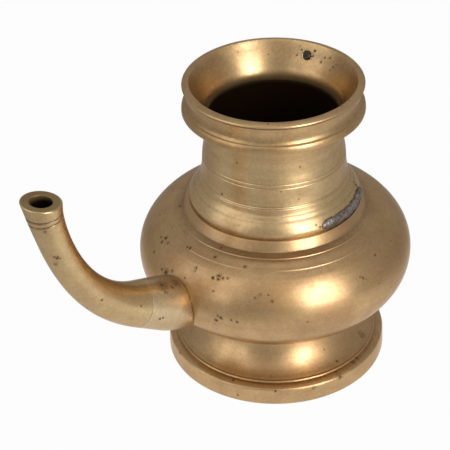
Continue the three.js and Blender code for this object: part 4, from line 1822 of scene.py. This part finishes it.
@dataclass
class Spout:
    """The socket on the belly and the bent tube in it. Sizes are in millimetres and degrees."""

    # Where its line leaves the belly
    belly_radius: float = BELLY_RADIUS
    root_height: float = 67.4
    rise_angle: float = 26.5
    # The socket
    socket_reach: float = 29.0
    end_radius: float = 13.3
    flare: float = 0.116
    bore_radius: float = 10.0
    # Its heel, which starts outside the belly's round and bends and ends inside it
    heel_start: float = 8.2
    heel_bend: float = 8.0
    heel_bend_radius: float = 16.3
    heel_end: float = 20.0
    heel_end_radius: float = 10.4
    # The tube's line, with how far each end pulls it
    tip_reach: float = 81.5
    tip_rise: float = 106.4
    lean_angle: float = 8.1
    root_pull: float = 28.1
    tip_pull: float = 54.2
    # The tube's outside, thinnest at its waist, and its wall
    waist_radius: float = 8.7
    waist_share: float = 0.636
    taper_power: float = 2.05
    tip_radius: float = 10.75
    flare_power: float = 3.1
    waist_wall: float = 2.8
    tip_wall: float = 4.9
    tip_edge: float = 1.1
    bore_edge: float = 0.5
    # The tip's face painted darker, and painted shade deepening down the bore
    face_and_bore_dark: float = 0.5
    bore_fade: float = 9.0
    bore_skin: float = 0.2
    # The turned lines, as drops below the tip
    line_drops: tuple[float, ...] = (10.1, 7.2)
    line_depth: float = 0.4
    line_width: float = 1.0
    # The tip's face
    face_lean_in: float = 6.5
    face_lean_side: float = 4.0
    face_reach: float = 12.0
    # The joints with the socket and the belly
    spigot: float = SPIGOT_DEPTH
    gap: float = BRAZING_GAP
    seam: float = 0.12
    seam_edge: float = 0.12
    belly_seam: float = 0.06

    def direction(self) -> Vector:
        """Returns the way the spout leaves the belly."""
        rise = math.radians(self.rise_angle)
        return Vector((-math.cos(rise), 0.0, math.sin(rise)))

    def root(self) -> Vector:
        """Returns where the spout's line meets the belly."""
        return Vector((-self.belly_radius, 0.0, self.root_height))

    def socket_end(self) -> Vector:
        """Returns the centre of the socket's end."""
        return self.root() + self.direction() * self.socket_reach

    def tip(self) -> Vector:
        """Returns the centre of the tip's face."""
        return Vector((-self.belly_radius - self.tip_reach, 0.0, self.root_height + self.tip_rise))

    def controls(self) -> list[Vector]:
        """Places the control points of the tube's centre line.

        Returns:
            The four points.
        """
        lean = math.radians(self.lean_angle)
        up = Vector((-math.sin(lean), 0.0, math.cos(lean)))
        return [
            self.socket_end(),
            self.socket_end() + self.direction() * self.root_pull,
            self.tip() - up * self.tip_pull,
            self.tip(),
        ]

    def centre_line(self, steps: int) -> CentreLine:
        """Follows the tube's centre line.

        Args:
            steps: How many stretches it has.

        Returns:
            Its points, each with its direction and its run along the line.
        """
        a, b, c, d = self.controls()
        found = []
        run = 0.0
        last = a
        for i in range(steps + 1):
            t = i / steps
            u = 1 - t
            place = a * u ** 3 + b * 3 * u * u * t + c * 3 * u * t * t + d * t ** 3
            slope = (b - a) * 3 * u * u + (c - b) * 6 * u * t + (d - c) * 3 * t * t
            run += (place - last).length
            found.append((place, slope.normalized(), run))
            last = place
        return found

    def radius_at(self, share: float) -> float:
        """Measures the tube's outside.

        Args:
            share: The share of its length, from 0 to 1.

        Returns:
            The outer radius there.
        """
        if share < self.waist_share:
            left = 1 - share / self.waist_share
            return self.waist_radius + (self.end_radius - self.waist_radius) * left ** self.taper_power
        past = (share - self.waist_share) / (1 - self.waist_share)
        return self.waist_radius + (self.tip_radius - self.waist_radius) * past ** self.flare_power

    def wall_at(self, share: float) -> float:
        """Measures the tube's wall.

        Args:
            share: The share of its length, from 0 to 1.

        Returns:
            The wall there.
        """
        root_wall = self.end_radius - self.bore_radius
        if share < self.waist_share:
            return root_wall + (self.waist_wall - root_wall) * share / self.waist_share
        past = (share - self.waist_share) / (1 - self.waist_share)
        return self.waist_wall + (self.tip_wall - self.waist_wall) * past ** self.flare_power

    def along_root(self, bm: bmesh.types.BMesh, centre: Vector) -> None:
        """Lays a mesh turned about Z along the spout's root.

        Args:
            bm: The mesh, in millimetres.
            centre: Where its origin goes.
        """
        turn = Vector((0, 0, 1)).rotation_difference(self.direction()).to_matrix().to_4x4()
        bmesh.ops.transform(bm, matrix=Matrix.Translation(centre) @ turn, verts=bm.verts)

    def bore(self, belly: bpy.types.Object) -> None:
        """Bores the belly's wall for the spout.

        Args:
            belly: The belly's shape.
        """
        bm = bmesh.new()
        bmesh.ops.create_cone(bm, cap_ends=True, segments=DRILL_AROUND, radius1=self.bore_radius,
                              radius2=self.bore_radius, depth=2 * self.heel_end)
        self.along_root(bm, self.root())
        cut_out(belly, finished_object("drill", bm, pot_axis()))

    def build_socket(self, effects: Effects, belly: Belly, body: bpy.types.Object) -> bpy.types.Object:
        """Makes and dresses the socket, cut to the belly's round.

        Args:
            effects: The shared shader groups.
            belly: The belly's sizes.
            body: The belly's shape.

        Returns:
            The piece.
        """
        start = self.heel_start - self.socket_reach
        back = -self.socket_reach - self.heel_end
        rebate = (self.end_radius + self.bore_radius) / 2 + self.gap
        depth = self.spigot + self.gap
        heel = bezier([
            Corner(self.heel_end_radius, back),
            Corner(self.heel_bend_radius, -self.socket_reach - self.heel_bend),
            Corner(self.end_radius - self.flare * start, start),
        ], steps=24)
        corners = [
            *heel,
            Corner(self.end_radius, -self.seam, self.seam_edge),
            Corner(rebate, -self.seam, SHARP_EDGE),
            Corner(rebate, -depth, SHARP_EDGE),
            Corner(self.bore_radius, -depth, SHARP_EDGE),
            Corner(self.bore_radius, back),
        ]

        def inside(place: Vector) -> float:
            """Returns 1 in the socket's bore, which is painted as shade."""
            return 1.0 if place.x < self.bore_radius + self.bore_skin else 0.0

        outline = refined(rounded(corners), longest=0.9)
        bm = Turning(outline, around=SOCKET_AROUND, polish_and_highlight=0.1, inside=inside).mesh()
        self.along_root(bm, self.socket_end())
        piece = finished_object("socket", bm, pot_axis())
        envelope = [Vector((max(0.0, c.radius), c.height))
                    for c in belly.arc(-math.pi / 2, math.pi / 2, -self.belly_seam, steps=160)]
        cut_out(piece, finished_object("belly_round", Turning(envelope, BELLY_AROUND).mesh(), pot_axis()))
        store_nearness(piece, body, JOINT_REACH)
        store_nearness(body, piece, JOINT_REACH)
        finish = AgedBrass("socket_brass", bright=(0.72, 0.56, 0.33, 1.0), brown=(0.5, 0.33, 0.16, 1.0),
                           tarnish=0.5, rings=0.08)
        material = finish.material(effects, spots_on(piece, SPOUT_MARKS))
        return settle(piece, material, "spout_socket")

    def tube_outline(self, length: float) -> list[Vector]:
        """Draws the section of the tube before it is bent.

        Args:
            length: The tube's length, in millimetres.

        Returns:
            The closed outline, in millimetres.
        """
        cuts = 120
        shares = [i / cuts for i in range(cuts + 1)]
        outer = [Corner(self.radius_at(s), s * length) for s in shares]
        inner = [Corner(self.radius_at(s) - self.wall_at(s), s * length) for s in shares[::2]]
        outer = grooved(outer, [length - drop for drop in self.line_drops], self.line_depth, self.line_width)
        outer[0].fillet = self.seam_edge
        outer[-1].fillet = self.tip_edge
        inner[-1].fillet = self.bore_edge
        spigot = (self.end_radius + self.bore_radius) / 2
        corners = [
            Corner(spigot, 0.0, SHARP_EDGE),
            *outer,
            *reversed(inner),
            Corner(self.bore_radius, -self.spigot, SHARP_EDGE),
            Corner(spigot, -self.spigot, SHARP_EDGE),
        ]
        return refined(rounded(corners), longest=1.0)

    def build_tube(self, effects: Effects) -> bpy.types.Object:
        """Makes and dresses the tube with its worn tip.

        Args:
            effects: The shared shader groups.

        Returns:
            The piece.
        """
        line = self.centre_line(steps=160)
        length = line[-1][2]

        def deep(place: Vector) -> float:
            """Measures how dark a point is painted: painted shade down its bore, and less on the tip's face.

            Args:
                place: The point, as (radius, height).

            Returns:
                The darkness, from 0 to 1.
            """
            share = min(1.0, max(0.0, place.y / length))
            if place.x < self.radius_at(share) - self.wall_at(share) + self.bore_skin:
                return min(1.0, self.face_and_bore_dark + (length - place.y) / self.bore_fade)
            on_face = place.y > length - self.bore_skin and place.x < self.tip_radius - self.tip_edge
            return self.face_and_bore_dark if on_face else 0.0

        # Dirt and painted shade in the two turned lines near the tip
        soil_and_shade = tuple(
            SoilAndShadeBand(length - drop, reach=self.line_width, strength=1.0) for drop in self.line_drops
        )
        bm = Turning(self.tube_outline(length), around=SPOUT_AROUND, soil_and_shade=soil_and_shade, crease=1.0, polish_and_highlight=0.35,
                     inside=deep).mesh()
        self.bend(bm, line)
        waver(bm, size=22.0, depth=0.1, seed=23.0)
        piece = finished_object("spout", bm, pot_axis())
        finish = AgedBrass("spout_brass", bright=(0.66, 0.47, 0.23, 1.0), tarnish=0.5, rings=0.04,
                           lines=0.002 * MM, grain=0.009 * MM)
        material = finish.material(effects, spots_on(piece, SPOUT_MARKS))
        return settle(piece, material, "spout_tube")

    def bend(self, bm: bmesh.types.BMesh, line: CentreLine) -> None:
        """Bends a straight tube along the centre line and leans its end to the tip's face.

        Args:
            bm: The tube's mesh, in millimetres.
            line: The centre line.
        """
        length = line[-1][2]
        side = Vector((0, 1, 0))
        face = self.face_normal()
        for vert in bm.verts:
            height = vert.co.z
            clamped = min(max(height, 0.0), length)
            place, way = self.on_line(line, clamped)
            offset = side.cross(way) * vert.co.x + side * vert.co.y
            share = max(0.0, 1 - (length - height) / self.face_reach)
            lean = share * share * (3 - 2 * share) * offset.dot(face) / way.dot(face)
            vert.co = place + way * (height - clamped - lean) + offset

    def on_line(self, line: CentreLine, run: float) -> tuple[Vector, Vector]:
        """Walks along the centre line.

        Args:
            line: The centre line.
            run: How far to walk, in millimetres.

        Returns:
            The place reached and the line's direction there.
        """
        i = bisect_right(line, run, hi=len(line) - 1, key=lambda stop: stop[2]) - 1
        start, end = line[i], line[i + 1]
        share = (run - start[2]) / max(1e-9, end[2] - start[2])
        return start[0].lerp(end[0], share), start[1].lerp(end[1], share).normalized()

    def face_normal(self) -> Vector:
        """Finds the way the tip's face looks.

        Returns:
            The direction, one long.
        """
        sideways = Matrix.Rotation(math.radians(self.face_lean_side), 3, "X")
        inwards = Matrix.Rotation(math.radians(self.face_lean_in), 3, "Y")
        return sideways @ inwards @ Vector((0, 0, 1))


@dataclass
class NeckSolder:
    """The bead of solder along the neck's roll. Sizes are in millimetres and degrees."""

    # Its run round the neck
    ring_radius: float = 48.9
    height: float = NECK_SEAT + 3.4
    start: float = -101.0
    end: float = -47.0
    # Its section
    radius: float = 2.2
    spread: float = 1.5
    fullness: float = 0.92
    # Its lumps, its wrinkles and its thin ends
    lump_size: float = 3.2
    lump_depth: float = 0.3
    wrinkle_size: float = 1.1
    wrinkle_depth: float = 0.16
    end_size: float = 0.45
    end_slope: float = 9.0
    # How finely it is cut
    around: int = 28
    steps: int = 120

    def build(self) -> bpy.types.Object:
        """Makes and dresses the bead.

        Returns:
            The piece.
        """
        bm = bmesh.new()
        start = math.radians(self.start)
        made = bmesh.ops.create_circle(bm, cap_ends=True, segments=self.around, radius=self.radius)
        turn = Matrix.Rotation(math.pi / 2, 4, "X")
        place = Matrix.Translation((self.ring_radius, 0.0, self.height))
        bmesh.ops.transform(bm, matrix=Matrix.Rotation(start, 4, "Z") @ place @ turn, verts=made["verts"])
        bmesh.ops.spin(bm, geom=bm.verts[:] + bm.edges[:] + bm.faces[:], cent=(0, 0, 0), axis=(0, 0, 1),
                       angle=math.radians(self.end) - start, steps=self.steps, use_merge=False)
        bmesh.ops.recalc_face_normals(bm, faces=bm.faces)
        self.lump(bm)
        piece = finished_object("solder_bead", bm, pot_axis())
        return settle(piece, GreySolder().material(), "neck_solder")

    def lump(self, bm: bmesh.types.BMesh) -> None:
        """Makes the bead uneven, and thins it to its ends.

        Args:
            bm: The bead's mesh, in millimetres.
        """
        start = math.radians(self.start)
        span = math.radians(self.end) - start
        for vert in bm.verts:
            angle = math.atan2(vert.co.y, vert.co.x)
            share = min(max((angle - start) / span, 0.0), 1.0)
            middle = Vector((math.cos(angle) * self.ring_radius, math.sin(angle) * self.ring_radius,
                             self.height))
            ends = min(1.0, self.end_slope * min(share, 1 - share) + self.end_size)
            swell = self.fullness + self.lump_depth * noise.noise(vert.co / self.lump_size)
            swell += self.wrinkle_depth * noise.noise(vert.co / self.wrinkle_size)
            out = (vert.co - middle) * ends * min(1.0, swell)
            vert.co = middle + Vector((out.x, out.y, out.z * self.spread))


# Stage


@dataclass(frozen=True)
class SoftBox:
    """A rectangular studio lamp.

    Args:
        name: Its name.
        azimuth: Where it stands round the pot, in degrees, as the view's azimuth counts.
        elevation: Its height above the horizon, in degrees.
        distance: Its distance from the pot's middle, in metres.
        size: Its width and height, in metres.
        power: Its power in watts.
        aim_height: The height that it is turned towards, in metres.
    """

    name: str
    azimuth: float
    elevation: float
    distance: float
    size: tuple[float, float]
    power: float
    aim_height: float = 0.09

    def build(self) -> bpy.types.Object:
        """Makes the lamp, turned towards the pot's middle.

        Returns:
            The lamp.
        """
        data = bpy.data.lights.new(self.name, "AREA")
        data.shape = "RECTANGLE"
        data.size, data.size_y = self.size
        data.energy = self.power
        lamp = linked(self.name, data)
        out = outward(self.azimuth, self.elevation)
        middle = pot_axis() + Vector((0, 0, self.aim_height))
        turned = out.to_track_quat("Z", "Y").to_matrix().to_4x4()
        lamp.matrix_world = Matrix.Translation(middle + out * self.distance) @ turned
        return lamp


@dataclass
class Studio:
    """The plain pale floor, the world's light and the soft boxes.

    Args:
        world_light: The world's grey, from 0 to 1.
        floor_size: The floor's length and width, in metres.
        floor_grey: The floor's own grey, from 0 to 1.
        floor_roughness: The floor's roughness.
        floor_white: How white the camera sees the floor, from 0 to 1.
        floor_lights: The patches of floor that metal sees white, each as how far it lies from the pot's
            axis towards the key box, how far out it stays white and where it has faded, in metres.
        boxes: The soft boxes.
    """

    world_light: float = 0.42
    floor_size: float = 6.0
    floor_grey: float = 0.5
    floor_roughness: float = 0.6
    floor_white: float = 0.97
    floor_lights: tuple[tuple[float, float, float], ...] = ((0.0, 0.05, 0.32), (0.22, 0.07, 0.26))
    boxes: tuple[SoftBox, ...] = (
        SoftBox("key_box", azimuth=VIEW.azimuth + 35, elevation=22, distance=1.1,
                size=(0.4, 0.9), power=9.0),
        SoftBox("left_box", azimuth=VIEW.azimuth - 62, elevation=28, distance=1.4,
                size=(1.3, 1.5), power=6.0),
        SoftBox("top_box", azimuth=VIEW.azimuth + 20, elevation=76, distance=1.2,
                size=(1.3, 1.2), power=1.9),
    )

    def build(self) -> None:
        """Builds the stage and sets the scene's look."""
        self.world()
        self.floor()
        for box in self.boxes:
            box.build()
        bpy.context.scene.view_settings.view_transform = "Standard"

    def world(self) -> None:
        """Makes a plain grey world."""
        world = bpy.data.worlds.new("studio_world")
        world.use_nodes = True
        grey = self.world_light
        world.node_tree.nodes["Background"].inputs["Color"].default_value = (grey, grey, grey, 1.0)
        bpy.context.scene.world = world

    def floor(self) -> None:
        """Makes the pale floor, which the camera sees as white and the metal sees so in glowing patches, a
        painted reflection.
        """
        bm = bmesh.new()
        bmesh.ops.create_grid(bm, x_segments=1, y_segments=1, size=self.floor_size / 2 / MM)
        piece = finished_object("studio_floor", bm, Vector((0, 0, 0)))
        made, wire, shader = new_material("floor_paper")
        shader.inputs["Base Color"].default_value = (self.floor_grey, self.floor_grey, self.floor_grey, 1.0)
        shader.inputs["Roughness"].default_value = self.floor_roughness
        glow = wire.node("ShaderNodeEmission")
        path = wire.node("ShaderNodeLightPath")
        seen = wire.larger(path.outputs["Is Glossy Ray"], path.outputs["Is Transmission Ray"])
        # Glossy and transmission rays see the floor glow in patches: a painted reflection.
        seen = wire.times(seen, self.lit_floor(wire))
        seen = wire.larger(seen, path.outputs["Is Camera Ray"])
        mixed = wire.node("ShaderNodeMixShader")
        wire.feed(mixed.inputs["Fac"], wire.times(seen, self.floor_white))
        wire.feed(mixed.inputs[1], shader.outputs["BSDF"])
        wire.feed(mixed.inputs[2], glow.outputs["Emission"])
        wire.feed(made.node_tree.nodes["Material Output"].inputs["Surface"], mixed.outputs["Shader"])
        piece.data.materials.append(made)

    def lit_floor(self, wire: Wiring) -> bpy.types.NodeSocket:
        """Makes the glowing patches of floor that metal sees white, a painted reflection of floor lit round
        the pot and towards the key box.

        Args:
            wire: The floor material's wiring.

        Returns:
            How white it sees each place, from 0 to 1.
        """
        place = wire.node("ShaderNodeTexCoord").outputs["Object"]
        towards_key = outward(self.boxes[0].azimuth)
        lit = None
        for shift, near, far in self.floor_lights:
            away = wire.distance(place, pot_axis() + towards_key * shift)
            patch = wire.ramp(away, near, far, 1.0, 0.1)
            lit = wire.larger(lit, patch) if lit else patch
        return lit


def main() -> None:
    """Builds the camera, the stage and every sub-assembly in order, and reports each piece."""
    logging.basicConfig(level=logging.INFO, format="%(name)s %(message)s")
    VIEW.build()
    Studio().build()
    effects = Effects()
    belly = Belly()
    spout = Spout()
    rim = MouthRim()
    plug = RimPlug()
    foot = FootRing().build(effects)
    body = belly.build()
    spout.bore(body)
    pieces = [
        foot,
        spout.build_socket(effects, belly, body),
        belly.dress(body, effects),
        spout.build_tube(effects),
        Neck().build(effects),
        rim.build(effects, plug),
        plug.build(rim),
        NeckSolder().build(),
    ]
    for piece in pieces:
        mesh = piece.data
        LOG.info("%s: %d faces, finish %s", piece.name, len(mesh.polygons), mesh.materials[0].name)


if __name__ == "__main__":
    main()
